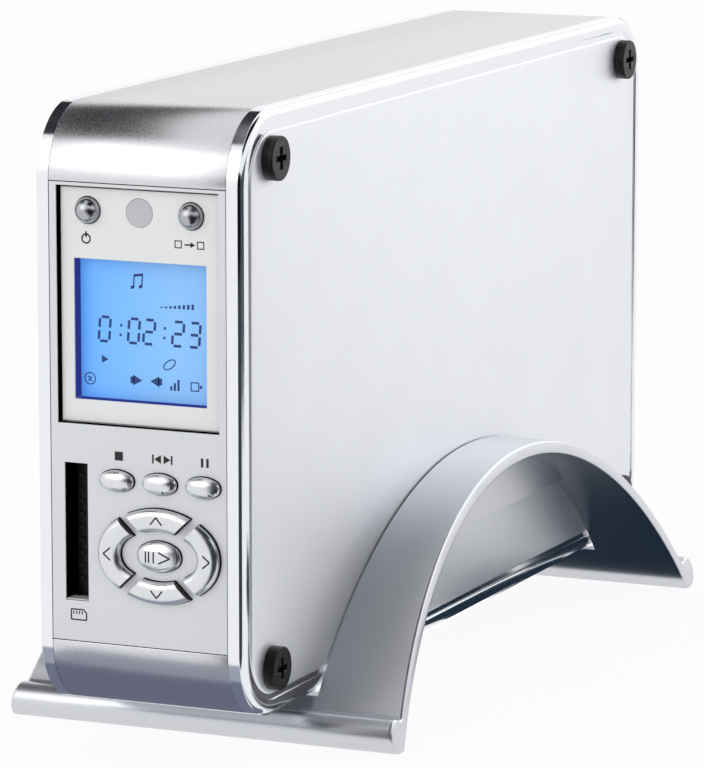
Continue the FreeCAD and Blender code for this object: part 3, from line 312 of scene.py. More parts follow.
# %% Plated, black and coloured finishes
def rippled(name, code, roughness, ripple_mm, depth, metallic=0.0, more=()):
    """A smooth finish whose surface waves a little, as plating and moulded plastic do."""
    material, tree = new_material(name)
    place = add_node(tree, "ShaderNodeTexCoord").outputs["Object"]
    wave = add_node(tree, "ShaderNodeTexNoise", {
        "Vector": place, "Scale": 1 / (ripple_mm * MM), "Detail": 1.0}).outputs["Fac"]
    bump = add_node(tree, "ShaderNodeBump", {
        "Height": wave, "Strength": 1.0, "Distance": depth * MM})
    smear = add_node(tree, "ShaderNodeMapRange", {
        "Value": wave, "From Min": 0.3, "From Max": 0.7,
        "To Min": roughness * 0.8, "To Max": roughness * 1.2})
    add_surface(tree, {"Base Color": colour(code), "Roughness": smear.outputs["Result"],
                       "Normal": bump.outputs["Normal"], "Metallic": metallic, **dict(more)})
    return material


# Frames: bright chrome, a sharp mirror. The keys' satin chrome blurs it, and the round buttons'
# is darker: painted shade for the dark room that they mirror.
chrome = rippled("chrome_plated_abs", "#eef0f4", 0.14, 6, 0.003, 1.0)
key_chrome = rippled("satin_chrome_plated_key", "#e0e2e5", 0.27, 3, 0.002, 1.0)
ball_chrome_painted_shade = rippled("satin_chrome_darkened_as_painted_shade", "#b4b6ba", 0.26, 3, 0.002, 1.0)
# Black parts: oxidised steel has a grey sheen, moulded ABS less, and ink and rubber hardly any.
black_steel = rippled("black_oxide_steel", "#1d1d20", 0.42, 1.5, 0.004, 0.5)
# Black ABS also paints shade: round the keys, between them, in the gap round the sunken plate and
# in the card slot.
black_plastic_and_painted_shade = rippled("black_abs_and_painted_shade", "#0c0c0e", 0.4, 2, 0.006)
ink_black = rippled("black_printing_ink", "#101012", 0.5, 1, 0.001)
# The black rubber finish also paints the shade in the gap round each side panel.
rubber_and_painted_gap_shade = rippled("black_rubber_and_painted_gap_shade", "#161616", 0.7, 0.8, 0.02)
# Display: a milky infra-red window, a window lining painted violet and made to glow, which is
# painted light of the blue backlight on its walls, and navy liquid crystal.
window_plastic = rippled("grey_infrared_window", "#c4c6c9", 0.35, 3, 0.001)
lining_painted_glow = rippled("window_lining_painted_backlight_glow", "#2c2f80", 0.4, 4, 0.002, more={
    "Emission Color": colour("#353f8f"), "Emission Strength": 0.6})
navy = rippled("navy_liquid_crystal", "#17407f", 0.4, 1, 0.001)
# Contacts and electronics: bright gilded sockets, dark bronze springs, the boards' glossy green
# mask, and the soft sheen of vinyl and nylon.
brass = rippled("gold_plated_brass", "#d9b65c", 0.22, 2, 0.002, 1.0)
bronze = rippled("tarnished_contact_bronze", "#4d463a", 0.4, 1, 0.002, 1.0)
board_green = rippled("green_solder_mask", "#14532f", 0.35, 1.2, 0.006)
ribbon_grey = rippled("grey_pvc_ribbon", "#8a8b8e", 0.5, 1.3, 0.01)
nylon = rippled("natural_nylon", "#dedbd0", 0.45, 2, 0.004)
print("plated, black and coloured finishes made")

# %% [markdown]
# ## The case outline
# Covers, frames and panels all follow one rounded rectangle. It starts as four corner points, and
# bevelling those points rounds the corners, so no arc has to be worked out by hand. Insetting the
# face then gives any parallel outline.

# %% Rounded outline in the side view
CORNER_STEPS = 20


def outline_face(bm, across, inset=0.0):
    """A rounded rectangle, seen from the side, at a distance across from the middle."""
    corners = [bm.verts.new((across, y, z)) for y, z in (
        (FRONT + inset, BASE + inset), (BACK - inset, BASE + inset),
        (BACK - inset, TOP - inset), (FRONT + inset, TOP - inset))]
    bm.faces.new(corners)
    bmesh.ops.bevel(bm, geom=corners, offset=CORNER - inset, affect="VERTICES",
                    segments=CORNER_STEPS, profile=0.5, material=-1)
    return bm.faces[:][-1]


# %% [markdown]
# ## Side frames
# Each plated frame is a flat band beside the covers, a crease, a swollen rim and a step down to
# the ledge that carries the panel. Seen in section that is one line, so the frame is drawn by
# raising and insetting the outline face along it. The two open ends are bridged behind the panel.

# %% Plated frames
BAND = 2.3
CREASE_WIDTH, CREASE_DEPTH = 0.3, 0.2
SWELL_WIDTH = 1.7
SWELL_STEPS = 6
RIM_FLAT = 0.75
RIM_EDGE = 0.35
LEDGE = 2.5
panel_low, panel_high = box_mm("side_panel_right")


def side_frame():
    bm = bmesh.new()
    back_of_band = outline_face(bm, HALF_WRAP)
    face = raise_face(bm, back_of_band, BAND)
    inset_face(bm, face, CREASE_WIDTH, -CREASE_DEPTH)
    round_off(bm, face, SWELL_WIDTH, SIDE_FACE - HALF_WRAP - BAND + CREASE_DEPTH, SWELL_STEPS)
    inset_face(bm, face, RIM_FLAT, 0)
    round_off(bm, face, RIM_EDGE, -RIM_EDGE, SWELL_STEPS)
    face = raise_face(bm, face, panel_low.x - SIDE_FACE + RIM_EDGE)
    inset_face(bm, face, LEDGE, 0)
    face = raise_face(bm, face, HALF_WRAP - panel_low.x)
    open_ends = face.edges[:] + back_of_band.edges[:]
    bmesh.ops.delete(bm, geom=[face, back_of_band], context="FACES_ONLY")
    bmesh.ops.bridge_loops(bm, edges=open_ends)
    bmesh.ops.remove_doubles(bm, verts=bm.verts, dist=MERGE)
    return bm


finish_pair("frame", side_frame, [chrome], "side_frame")

# %% [markdown]
# ## Covers
# The top and bottom covers are bent sheet. The outline is raised into a closed slab, its two flat
# sides go, and a plane at the seam cuts away the rest, so a strip of skin is left. Solidify gives
# the skin its thickness and a fine bevel lets the seams catch the light.

# %% Bent covers
SHEET = 2.0
SEAM_EDGE = 0.18


def bent_cover(seam, keep_above):
    bm = bmesh.new()
    face = outline_face(bm, -HALF_WRAP)
    raised = raise_face(bm, face, 2 * HALF_WRAP)
    bmesh.ops.delete(bm, geom=[face, raised], context="FACES_ONLY")
    bmesh.ops.bisect_plane(bm, geom=everything(bm), dist=ON_PLANE, plane_co=(0, 0, seam),
                           plane_no=Z_AXIS, clear_inner=keep_above, clear_outer=not keep_above)
    bm.normal_update()
    outermost = max(bm.faces, key=lambda item: abs(item.calc_center_median().z - seam))
    if (outermost.normal.z > 0) != keep_above:
        bmesh.ops.reverse_faces(bm, faces=bm.faces)
    bmesh.ops.solidify(bm, geom=bm.faces[:], thickness=SHEET)
    round_edges(bm, SEAM_EDGE, angle=60)
    return bm


for name, seam, keep_above in (("top", FACE_HIGH, True), ("bottom", FACE_LOW, False)):
    finish_piece(f"cover_{name}", bent_cover(seam, keep_above), [cover_silver],
                 [f"{name}_cover"])

# %% [markdown]
# ## Side panels
# A panel is a flat sheet in the frame's ledge. A narrow flat band round the sheet takes the black
# rubber finish: it is painted shade, the dark shadow line in the gap inside the rim. Above it, a
# few insets ease the sheet's edge with a small round.

# %% Flat panels
PANEL_EDGE = 0.45
PANEL_STEPS = 4
PANEL_SHADE_BAND = 0.65


def side_panel():
    bm = bmesh.new()
    face = outline_face(bm, panel_low.x, panel_low.y - FRONT)
    face = raise_face(bm, face, panel_high.x - panel_low.x - PANEL_EDGE)
    # A flat band round the sheet takes the rubber finish: painted shade of the gap inside the rim.
    before = set(bm.faces)
    inset_face(bm, face, PANEL_SHADE_BAND, 0)
    for item in set(bm.faces) - before:
        item.material_index = 1
    round_off(bm, face, PANEL_EDGE, PANEL_EDGE, PANEL_STEPS)
    return bm


finish_pair("panel", side_panel, [panel_silver, rubber_and_painted_gap_shade], "side_panel")

# %% [markdown]
# ## Cutting one form out of another
# A slot that crosses a curved form is easiest to cut with a second solid. The Boolean modifier
# does it, and its result is read back into a bmesh.


# %% Boolean cut
def cut_out(bm, cutter):
    """Cuts one bmesh out of another and gives back the rest."""
    whole, tool = to_object("whole", bm), to_object("tool", cutter)
    modifier = whole.modifiers.new("cut", "BOOLEAN")
    modifier.operation, modifier.solver, modifier.object = "DIFFERENCE", "EXACT", tool
    view = bpy.context.evaluated_depsgraph_get()
    rest = bpy.data.meshes.new_from_object(whole.evaluated_get(view))
    result = bmesh.new()
    result.from_mesh(rest)
    for item in (whole, tool):
        bpy.data.objects.remove(item)
    bpy.data.meshes.remove(rest)
    bmesh.ops.remove_doubles(result, verts=result.verts, dist=MERGE)
    return result


def block(bm, low, high):
    """A box between two corners."""
    low, high = Vector(low), Vector(high)
    place = Matrix.Translation((low + high) / 2) @ Matrix.Diagonal((*(high - low), 1))
    return bmesh.ops.create_cube(bm, size=1, matrix=place)["verts"]


# %% [markdown]
# ## Arch stand
# The stand is one strip of thick aluminium bent into an arch, with a round lip rolled at each
# foot. Half of its side view is drawn as a chain: spinning a point about a centre leaves an arc.
# The chain is filled, mirrored and drawn out to the strip's width, the ends lean in, and a slot
# for the case is cut out. A cheek closes the gap under the arch on each side of the slot.

# %% Stand sizes
stand_low, stand_high = box_mm("stand")
STAND_MIDDLE = (stand_low.y + stand_high.y) / 2
STAND_HALF = stand_high.x
CROWN = stand_high.z
STRIP = 2.8
LIP = 6.7
VALLEY = 1.3
LEAN = 0.18
SLOT_GAP = 0.35
SEAT = box_mm("seat_pads")[0].z
CHEEK_LOW, CHEEK_WALL = 29.0, 1.8
STAND_EDGE = 0.55
END_ZONE = 5                    # how far outside the case the strip's ends are rounded
NO_BEND = 0.001                 # edges that turn by less, in radians, are dissolved
ARCH_STEPS, VALLEY_STEPS, LIP_STEPS = 60, 8, 28
nose = stand_high.y - STAND_MIDDLE
ARCH = ((CROWN - LIP) ** 2 + (nose - LIP) ** 2) / (2 * (CROWN - LIP))
ARCH_LOW = CROWN - ARCH
print(f"arch radius {ARCH:.1f}, centre {ARCH_LOW:.1f} below the floor")


# %% Side view of the strip
def swing(bm, start, centre, axis, angle, steps):
    """Spins a point about a centre, which draws an arc, and gives back the arc's end."""
    made = bmesh.ops.spin(bm, geom=[start], cent=centre, axis=axis, angle=angle, steps=steps,
                          use_duplicate=False, use_merge=False, use_normal_flip=False)
    return pick(made["geom_last"], BMVert)[0]


def strip_half(bm, across):
    """The front half of the strip's side view: the outer arc, a hollow valley, the lip, the sole
    and the inner arc, filled."""
    reach, lip, inner = nose - LIP / 2, LIP / 2, ARCH - STRIP
    rise = lip - ARCH_LOW
    span = math.hypot(reach, rise)
    along = ((ARCH + VALLEY) ** 2 - (lip + VALLEY) ** 2 + span ** 2) / (2 * span)
    aside = math.sqrt((ARCH + VALLEY) ** 2 - along ** 2)
    out, up = (along * reach - aside * rise) / span, (along * rise + aside * reach) / span
    valley_up = ARCH_LOW + up
    start = bm.verts.new((across, 0, CROWN))
    point = swing(bm, start, (across, 0, ARCH_LOW), X_AXIS, math.atan2(out, up), ARCH_STEPS)
    turn = math.atan2(lip - valley_up, out - reach) - math.atan2(-up, out)
    point = swing(bm, point, (across, -out, valley_up), X_AXIS,
                  turn % (2 * math.pi) - 2 * math.pi, VALLEY_STEPS)
    point = swing(bm, point, (across, -reach, lip), X_AXIS,
                  1.5 * math.pi - math.atan2(valley_up - lip, reach - out), LIP_STEPS)
    heel = bm.verts.new((across, -math.sqrt(inner ** 2 - ARCH_LOW ** 2), 0))
    bm.edges.new((point, heel))
    end = swing(bm, heel, (across, 0, ARCH_LOW), X_AXIS, -math.acos(-ARCH_LOW / inner), ARCH_STEPS)
    bm.edges.new((end, start))
    bmesh.ops.contextual_create(bm, geom=bm.edges[:])


# %% Strip, slot and cheeks
def at_the_ends(edge):
    """Tells whether an edge is at one of the strip's two outer ends."""
    return min(abs(vert.co.x) for vert in edge.verts) > SIDE_FACE + END_ZONE


def arch_strip():
    bm = bmesh.new()
    strip_half(bm, -STAND_HALF)
    bmesh.ops.symmetrize(bm, input=everything(bm), direction="-Y", dist=MERGE)
    bmesh.ops.dissolve_limit(bm, angle_limit=NO_BEND, verts=[], edges=bm.edges)
    made = bmesh.ops.extrude_face_region(bm, geom=bm.faces[:])["geom"]
    move(bm, pick(made, BMVert), (2 * STAND_HALF, 0, 0))
    bmesh.ops.recalc_face_normals(bm, faces=bm.faces)
    for vert in bm.verts:
        vert.co.x *= 1 - LEAN * vert.co.z / STAND_HALF
    slot = bmesh.new()
    half = SIDE_FACE + SLOT_GAP
    block(slot, (-half, -nose, SEAT), (half, nose, CROWN + STRIP))
    bm = cut_out(bm, slot)
    round_edges(bm, STAND_EDGE, segments=3, chosen=at_the_ends)
    return bm


def cheek(bm, side):
    """A half-moon plate under the arch, beside the slot."""
    radius = ARCH - STRIP / 2
    across = side * (SIDE_FACE + SLOT_GAP)
    turn = math.asin((CHEEK_LOW - ARCH_LOW) / radius)
    start = bm.verts.new((across, radius * math.cos(turn), CHEEK_LOW))
    end = swing(bm, start, (across, 0, ARCH_LOW), X_AXIS, math.pi - 2 * turn, ARCH_STEPS)
    bm.edges.new((end, start))
    loop = [edge for edge in bm.edges if not edge.link_faces]
    face = bmesh.ops.contextual_create(bm, geom=loop)["faces"][0]
    raise_face(bm, face, side * CHEEK_WALL)


strip = arch_strip()
for side in (1, -1):
    cheek(strip, side)
move(strip, strip.verts, (0, STAND_MIDDLE, 0))
finish_piece("arch_strip", strip, [stand_silver], ["stand"], body="stand")

# %% [markdown]
# ## Keys and buttons
# The keys are plated caps that bulge out of the fascia. Each keeps the outline of its sub-part:
# a plane through the sub-part at the fascia's face leaves that outline as an edge loop. The loop
# is filled and grown into a cap. Oval caps shrink towards their middle like a bean, and the keys
# of the ring keep an even rounded shoulder. Below the face the wall is black: painted shade, which
# draws the dark line round each key.

# %% Key outlines from the frame
KEY_TOP = 1.76                  # how far a key stands out of the fascia
KEY_ROOT = 1.9                  # how far it goes back behind the face
OUTLINE_AT = 0.2                # the height at which a sub-part's outline is taken
NO_KINK = 0.002                 # outline points that turn by less, in radians, are dissolved


def key_face(bm, node):
    """The outline of a sub-part just before the fascia, filled and facing forwards."""
    bm.from_mesh(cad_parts[node].data)
    bmesh.ops.scale(bm, vec=(1 / MM,) * 3, verts=bm.verts)
    bmesh.ops.remove_doubles(bm, verts=bm.verts, dist=MERGE)
    bmesh.ops.bisect_plane(bm, geom=everything(bm), dist=ON_PLANE,
                           plane_co=(0, FRONT - OUTLINE_AT, 0), plane_no=Y_AXIS,
                           clear_inner=True, clear_outer=True)
    bmesh.ops.dissolve_limit(bm, angle_limit=NO_KINK, verts=bm.verts, edges=bm.edges)
    face = bmesh.ops.contextual_create(bm, geom=bm.edges[:])["faces"][0]
    bm.normal_update()
    if face.normal.y > 0:
        bmesh.ops.reverse_faces(bm, faces=[face])
    return face


# %% Caps of the oval keys
OVAL_KEYS = ["stop_button", "skip_button", "pause_button", "play_key"]
BEAN_WALL = 0.45
BEAN_STEPS = 8
BEAN_TIP = 0.35                 # the share of a step that is left open for the crown


def bean_cap(node):
    """A black root and wall, painted shade round the key, and a plated cap that shrinks to its
    middle as it rises.
    """
    bm = bmesh.new()
    face = key_face(bm, node)
    move(bm, face.verts, (0, KEY_ROOT + OUTLINE_AT, 0))
    face = raise_face(bm, face, KEY_ROOT + BEAN_WALL, FORWARDS)
    for item in bm.faces:
        item.material_index = 1
    face.material_index = 0
    to_middle = Matrix.Translation(-face.calc_center_median())
    last_size, last_height = 1.0, 0.0
    for step in range(1, BEAN_STEPS + 1):
        turn = math.pi / 2 * step / (BEAN_STEPS + BEAN_TIP)
        size, height = math.cos(turn), math.sin(turn)
        face = raise_face(bm, face, (KEY_TOP - BEAN_WALL) * (height - last_height), FORWARDS)
        shrink = size / last_size
        bmesh.ops.scale(bm, vec=(shrink, 1, shrink), verts=face.verts, space=to_middle)
        last_size, last_height = size, height
    bmesh.ops.poke(bm, faces=[face])
    return bm


# The caps' faces keep the direction they are made in: those left inside would mislead a turn.
for node in OVAL_KEYS:
    finish_piece(f"{node}_cap", bean_cap(node), [key_chrome, black_plastic_and_painted_shade], [node],
                 body=node, turn_out=False)

# %% [markdown]
# ### The ring of four keys
# The four keys together are one oval ring with rounded shoulders, parted by two crossing gaps.
# So the whole ring is modelled first, from an outer and an inner oval of four arcs, and two
# cutting planes then leave one key of it. Cutting after rounding keeps the shoulders even right
# up to the gaps.

# %% Ring sizes
RING_OUTER = (12.6, 9.15, 7.25)     # half width, half height, radius of the ends
RING_INNER = (8.05, 4.9, 3.55)
RING_WALL, RING_SHOULDER = 0.6, 1.5
RING_STEPS = 7
RING_WEB = 0.975                    # half of a gap between two keys
WEB_ANGLE = math.radians(44)
SIDE_STEPS, CROWN_STEPS = 10, 16    # of half an end's arc and of a long side's arc
ring_low, ring_high = box_mm("key_left")[0], box_mm("key_right")[1]
RING_MIDDLE = Vector(((ring_low.x + ring_high.x) / 2, 0, (ring_low.z + ring_high.z) / 2))
RING_KEYS = (("key_up", 0, 1), ("key_right", 1, 0), ("key_down", 0, -1), ("key_left", -1, 0))
print(f"ring's middle at {RING_MIDDLE.x:.1f}, {RING_MIDDLE.z:.1f}")


# %% Ring keys
def oval_edges(bm, half, half_height, end, depth):
    """An oval of four tangent arcs round the ring's middle, at a depth, as a loop of edges."""
    old = set(bm.edges)
    large = ((half - end) ** 2 + half_height ** 2 - end ** 2) / (2 * (half_height - end))
    turn = math.atan2(large - half_height, half - end)
    point = start = bm.verts.new((half, depth, 0))
    for x, z, angle, steps in ((half - end, 0, -turn, SIDE_STEPS),
                               (0, half_height - large, 2 * turn - math.pi, CROWN_STEPS),
                               (end - half, 0, -2 * turn, 2 * SIDE_STEPS),
                               (0, large - half_height, 2 * turn - math.pi, CROWN_STEPS),
                               (half - end, 0, -turn, SIDE_STEPS)):
        point = swing(bm, point, (x, depth, z), Y_AXIS, angle, steps)
    bmesh.ops.remove_doubles(bm, verts=[start, point], dist=MERGE)
    return [edge for edge in bm.edges if edge not in old]


def key_ring():
    """The whole ring: a black wall up to a height, painted shade round the keys, then a rounded
    shoulder on both sides.
    """
    bm = bmesh.new()
    section = [(0.0, KEY_ROOT)]
    for step in range(RING_STEPS + 1):
        turn = math.pi / 2 * step / RING_STEPS
        section.append((RING_SHOULDER * (1 - math.cos(turn)),
                        -RING_WALL - (KEY_TOP - RING_WALL) * math.sin(turn)))
    outer, inner = ([oval_edges(bm, *(length + sign * shift for length in size), FRONT + depth)
                     for shift, depth in section]
                    for size, sign in ((RING_OUTER, -1), (RING_INNER, 1)))
    chain = outer + inner[::-1]
    for first, second in zip(chain, chain[1:] + chain[:1]):
        bmesh.ops.bridge_loops(bm, edges=first + second)
    for face in bm.faces:
        face.material_index = int(max(vert.co.y for vert in face.verts) > FRONT)
    return bm


def ring_key(right, high):
    """The key of the ring that lies on one side of its middle."""
    bm = key_ring()
    for sign in (1, -1):
        across = Vector((-math.sin(WEB_ANGLE), 0, sign * math.cos(WEB_ANGLE)))
        across *= 1 if across.dot(Vector((right, 0, high))) > 0 else -1
        made = bmesh.ops.bisect_plane(bm, geom=everything(bm), dist=ON_PLANE,
                                      plane_co=across * RING_WEB, plane_no=across,
                                      clear_inner=True)["geom_cut"]
        # The cut ends take the black finish: painted shade in the gaps between the keys.
        for end in bmesh.ops.contextual_create(bm, geom=pick(made, BMEdge))["faces"]:
            end.material_index = 1
    move(bm, bm.verts, RING_MIDDLE)
    return bm


for node, right, high in RING_KEYS:
    finish_piece(f"{node}_cap", ring_key(right, high), [key_chrome, black_plastic_and_painted_shade],
                 [node], body=node, sharp=50)

# %% [markdown]
# ## Round buttons
# The two upper buttons are polished balls set in the sunken plate. A quarter circle turned once
# about the button's own axis makes the cap, and its foot runs back through the plate.

# %% Round buttons
BALL_RADIUS = 2.5
BALL_FOOT = 2.4                 # how far the foot goes back behind the plate's face
BALL_STEPS, BALL_SIDES = 14, 48


def ball_button(node):
    low, high = box_mm(node)
    middle = (low + high) / 2
    centre = (middle.x, low.y + BALL_RADIUS, middle.z)
    bm = bmesh.new()
    tip = bm.verts.new((middle.x, low.y, middle.z))
    rim = swing(bm, tip, centre, Z_AXIS, math.pi / 2, BALL_STEPS)
    foot = bm.verts.new((rim.co.x, PLATE_FRONT + BALL_FOOT, middle.z))
    bm.edges.new((rim, foot))
    bmesh.ops.spin(bm, geom=everything(bm), cent=centre, axis=Y_AXIS, angle=2 * math.pi,
                   steps=BALL_SIDES, use_duplicate=False, use_merge=True, use_normal_flip=False)
    bmesh.ops.remove_doubles(bm, verts=bm.verts, dist=MERGE)
    bmesh.ops.holes_fill(bm, edges=bm.edges, sides=0)
    return bm


# The balls' darker chrome is painted shade of the dark room that they mirror.
for node in ("power_button", "backup_button"):
    finish_piece(f"{node}_ball", ball_button(node), [ball_chrome_painted_shade], [node], body=node)

# %% [markdown]
# ## Sub-parts that keep their own mesh
# Flat sub-parts are already the right shape, so they only take a finish. Where the edges show, a
# weld joins the loose triangles, a planar dissolve gives clean faces and a fine bevel breaks the
# edges, as moulding and deburring do.

# %% Dress the frame's own sub-parts
WELD = 0.005


def dress(node, material, edge=0.0):
    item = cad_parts[node]
    for place in item.material_slots:
        place.material = material
    if edge:
        item.modifiers.new("weld", "WELD").merge_threshold = WELD * MM
        flat = item.modifiers.new("flat_faces", "DECIMATE")
        flat.decimate_type, flat.angle_limit = "DISSOLVE", math.radians(1)
        bevel = item.modifiers.new("broken_edges", "BEVEL")
        bevel.width, bevel.segments, bevel.limit_method = edge * MM, 2, "ANGLE"
        bevel.angle_limit = math.radians(40)
        bevel.harden_normals = True


FINISHES = (                    # the finish, the width of its broken edges, its sub-parts
    (fascia_silver, 0.15, ["front_fascia"]),
    (plate_silver, 0.12, ["display_plate"]),
    (black_steel, 0.25, ["foot_screws_right", "foot_screws_left"]),
    (rear_paint, 0.2, ["rear_panel"]),
    (window_plastic, 0, ["ir_window"]),
    (rubber_and_painted_gap_shade, 0, ["seat_pads"]),
    (black_aluminium, 0, ["heat_sink"]),
    (black_plastic_and_painted_shade, 0, ["push_switches", "ir_receiver", "processor", "memory_chips",
                        "ribbon_header", "ribbon_plug", "power_inlet", "usb_socket",
                        "video_socket"]),
    (zinc, 0, ["drive_tray", "card_socket", "corner_pillars"]),
    (board_green, 0, ["main_board", "front_board"]),
    (nylon, 0, ["board_supports"]),
    (casting, 0, ["hard_drive"]),
    (ribbon_grey, 0, ["drive_ribbon"]),
    (brass, 0, ["phono_sockets"]))
for material, edge, nodes in FINISHES:
    for node in nodes:
        dress(node, material, edge)
print("dressed", sum(len(nodes) for material, edge, nodes in FINISHES), "sub-parts")

# %% [markdown]
# ## Display
# The display is a blue backlit panel. The backlight comes from its left edge, so the blue is
# deeper there. The panel gives off a little of its own light, and the rest is a smooth polariser.

# %% Backlit display
DEEP_BLUE_AT, PALE_BLUE_AT = -13.7, 6.0


def backlit_blue():
    material, tree = new_material("blue_backlit_polariser")
    place = add_node(tree, "ShaderNodeTexCoord").outputs["Object"]
    across = add_node(tree, "ShaderNodeSeparateXYZ", {"Vector": place}).outputs["X"]
    share = add_node(tree, "ShaderNodeMapRange", {
        "Value": across, "From Min": DEEP_BLUE_AT * MM, "From Max": PALE_BLUE_AT * MM})
    ramp = add_node(tree, "ShaderNodeValToRGB", {"Fac": share.outputs["Result"]})
    ramp.color_ramp.elements[0].color = colour("#60a8f7")
    ramp.color_ramp.elements[1].color = colour("#7fb5ea")
    add_surface(tree, {"Base Color": ramp.outputs["Color"], "Emission Color": ramp.outputs["Color"],
                       "Emission Strength": 0.35, "Roughness": 0.35})
    return material


dress("lcd_module", backlit_blue())
print("display lit")

# %% [markdown]
# ## Linings and seams at the front
# Three linings paint light and shade at the front. A black frame in the gap round the sunken
# plate is painted shade of that gap, a violet lining round the display's window is painted glow of
# the backlight on its walls, and a black liner is painted shade that makes the card slot deep.
# Each is a hollow frame: a rectangle, inset, emptied and drawn out. It is a hair smaller than its
# opening, so that it doesn't flicker against the wall.

# %% Openings in the front
FLAT = FACE_HIGH - FACE_LOW
SKIN = 0.02                     # keeps a lining off the wall that it lines
OPENING_HALF = 16.8
OPENING_LOW, OPENING_HIGH = FACE_LOW + 0.4773 * FLAT, FACE_HIGH - 0.75
WINDOW_HALF = 13.7
WINDOW_LOW, WINDOW_HIGH = FACE_LOW + 0.5295 * FLAT, FACE_LOW + 0.8341 * FLAT
socket_low, socket_high = box_mm("card_socket")
SLOT_LEFT, SLOT_RIGHT = -15.45, -10.65
SLOT_TALL = 26.6
SLOT_UP = (socket_low.z + socket_high.z) / 2
SLOT_LOW, SLOT_HIGH = SLOT_UP - SLOT_TALL / 2, SLOT_UP + SLOT_TALL / 2
SOCKET_FACE = socket_low.y
GAP_SHADE_WALL, LINING_WALL, SLOT_SHADE_WALL = 0.34, 0.1, 0.08
GAP_SHADE_NEAR, GAP_SHADE_FAR = FRONT + 0.2, FRONT + 1.9
SET_BACK = 0.25                 # how far behind a face the other two start
print(f"window {WINDOW_HIGH - WINDOW_LOW:.1f} high")


# %% Painted shade round the plate, painted glow in the window lining and painted shade in the slot
def hollow_frame(left, right, bottom, top, wall, near, far):
    """A rectangular frame between two depths, just inside the opening that it lines. The flat
    face has no normal yet when it is inset, so the walls come out with no thickness."""
    bm = bmesh.new()
    left, right, bottom, top = left + SKIN, right - SKIN, bottom + SKIN, top - SKIN
    face = bm.faces.new([bm.verts.new((x, near, z)) for x, z in
                         ((left, bottom), (right, bottom), (right, top), (left, top))])
    ring = bmesh.ops.inset_region(bm, faces=[face], thickness=wall, use_boundary=True)["faces"]
    bmesh.ops.delete(bm, geom=[face], context="FACES_ONLY")
    made = bmesh.ops.extrude_face_region(bm, geom=ring)["geom"]
    move(bm, pick(made, BMVert), (0, far - near, 0))
    return bm


# Painted shade in the gap round the sunken plate.
gap_shade = hollow_frame(-OPENING_HALF, OPENING_HALF, OPENING_LOW, OPENING_HIGH, GAP_SHADE_WALL,
                      GAP_SHADE_NEAR, GAP_SHADE_FAR)
# Painted glow of the backlight on the walls of the display's window.
lining = hollow_frame(-WINDOW_HALF, WINDOW_HALF, WINDOW_LOW, WINDOW_HIGH, LINING_WALL,
                      PLATE_FRONT + SET_BACK, LCD_FACE - SKIN)
# Painted shade that makes the card slot look deep.
slot_shade = hollow_frame(SLOT_LEFT, SLOT_RIGHT, SLOT_LOW, SLOT_HIGH, SLOT_SHADE_WALL,
                     FRONT + SET_BACK, SOCKET_FACE - SKIN)
finish_piece("plate_gap_painted_shade", gap_shade, [black_plastic_and_painted_shade])
finish_piece("window_lining", lining, [lining_painted_glow])
finish_piece("slot_painted_shade", slot_shade, [black_plastic_and_painted_shade])

# %% [markdown]
# ### Card contacts and sill
# Deep in the slot stands the socket's black face with a row of bronze spring contacts. At the
# slot's lower end the fascia's own thickness shows as a pale sill.

# %% Card contacts
CONTACTS = 9
CONTACT_PITCH = 2.5
CONTACT_LEFT, CONTACT_RIGHT = -14.95, -13.75
CONTACT_HALF = 0.45
CONTACT_PROUD, CONTACT_BACK = 0.5, 0.1
CONTACT_EDGE = 0.06
BACKING_GAP, BACKING_PROUD = 0.15, 0.12

contacts = bmesh.new()
block(contacts, (SLOT_LEFT + BACKING_GAP, SOCKET_FACE - BACKING_PROUD, SLOT_LOW + BACKING_GAP),
      (SLOT_RIGHT - BACKING_GAP, SOCKET_FACE - SKIN, SLOT_HIGH - BACKING_GAP))
for step in range(CONTACTS):
    up = SLOT_UP + (step - CONTACTS // 2) * CONTACT_PITCH
    for vert in block(contacts, (CONTACT_LEFT, SOCKET_FACE - CONTACT_PROUD, up - CONTACT_HALF),
                      (CONTACT_RIGHT, SOCKET_FACE - CONTACT_BACK, up + CONTACT_HALF)):
        for face in vert.link_faces:
            face.material_index = 1
round_edges(contacts, CONTACT_EDGE, segments=1)
finish_piece("card_contacts", contacts, [black_plastic_and_painted_shade, bronze])

# %% Sill of the slot
SILL_GAP = 0.12
SILL_DEPTH, SILL_TOP = 3.2, 0.3

sill = bmesh.new()
block(sill, (SLOT_LEFT + SILL_GAP, FRONT + SILL_GAP, SLOT_LOW + SILL_GAP),
      (SLOT_RIGHT - SILL_GAP, FRONT + SILL_DEPTH, SLOT_LOW + SILL_TOP))
finish_piece("slot_sill", sill, [fascia_silver])

# %% [markdown]
# ## Printed marks
# The marks beside the buttons are screen printed: a film of black ink far thinner than a hair.
# A film that thin would flicker against its ground, so it is drawn 0.03 mm proud. Strokes are slim
# boxes turned into place, and dots, rings and arrowheads are circles with few or many sides. A
# class holds the mesh and the depth of its faces, so each mark is one short call.

# %% Strokes, dots and rings
INK = 0.03
BEDDED = 0.12                   # a mark's whole thickness, nearly all of it in the ground


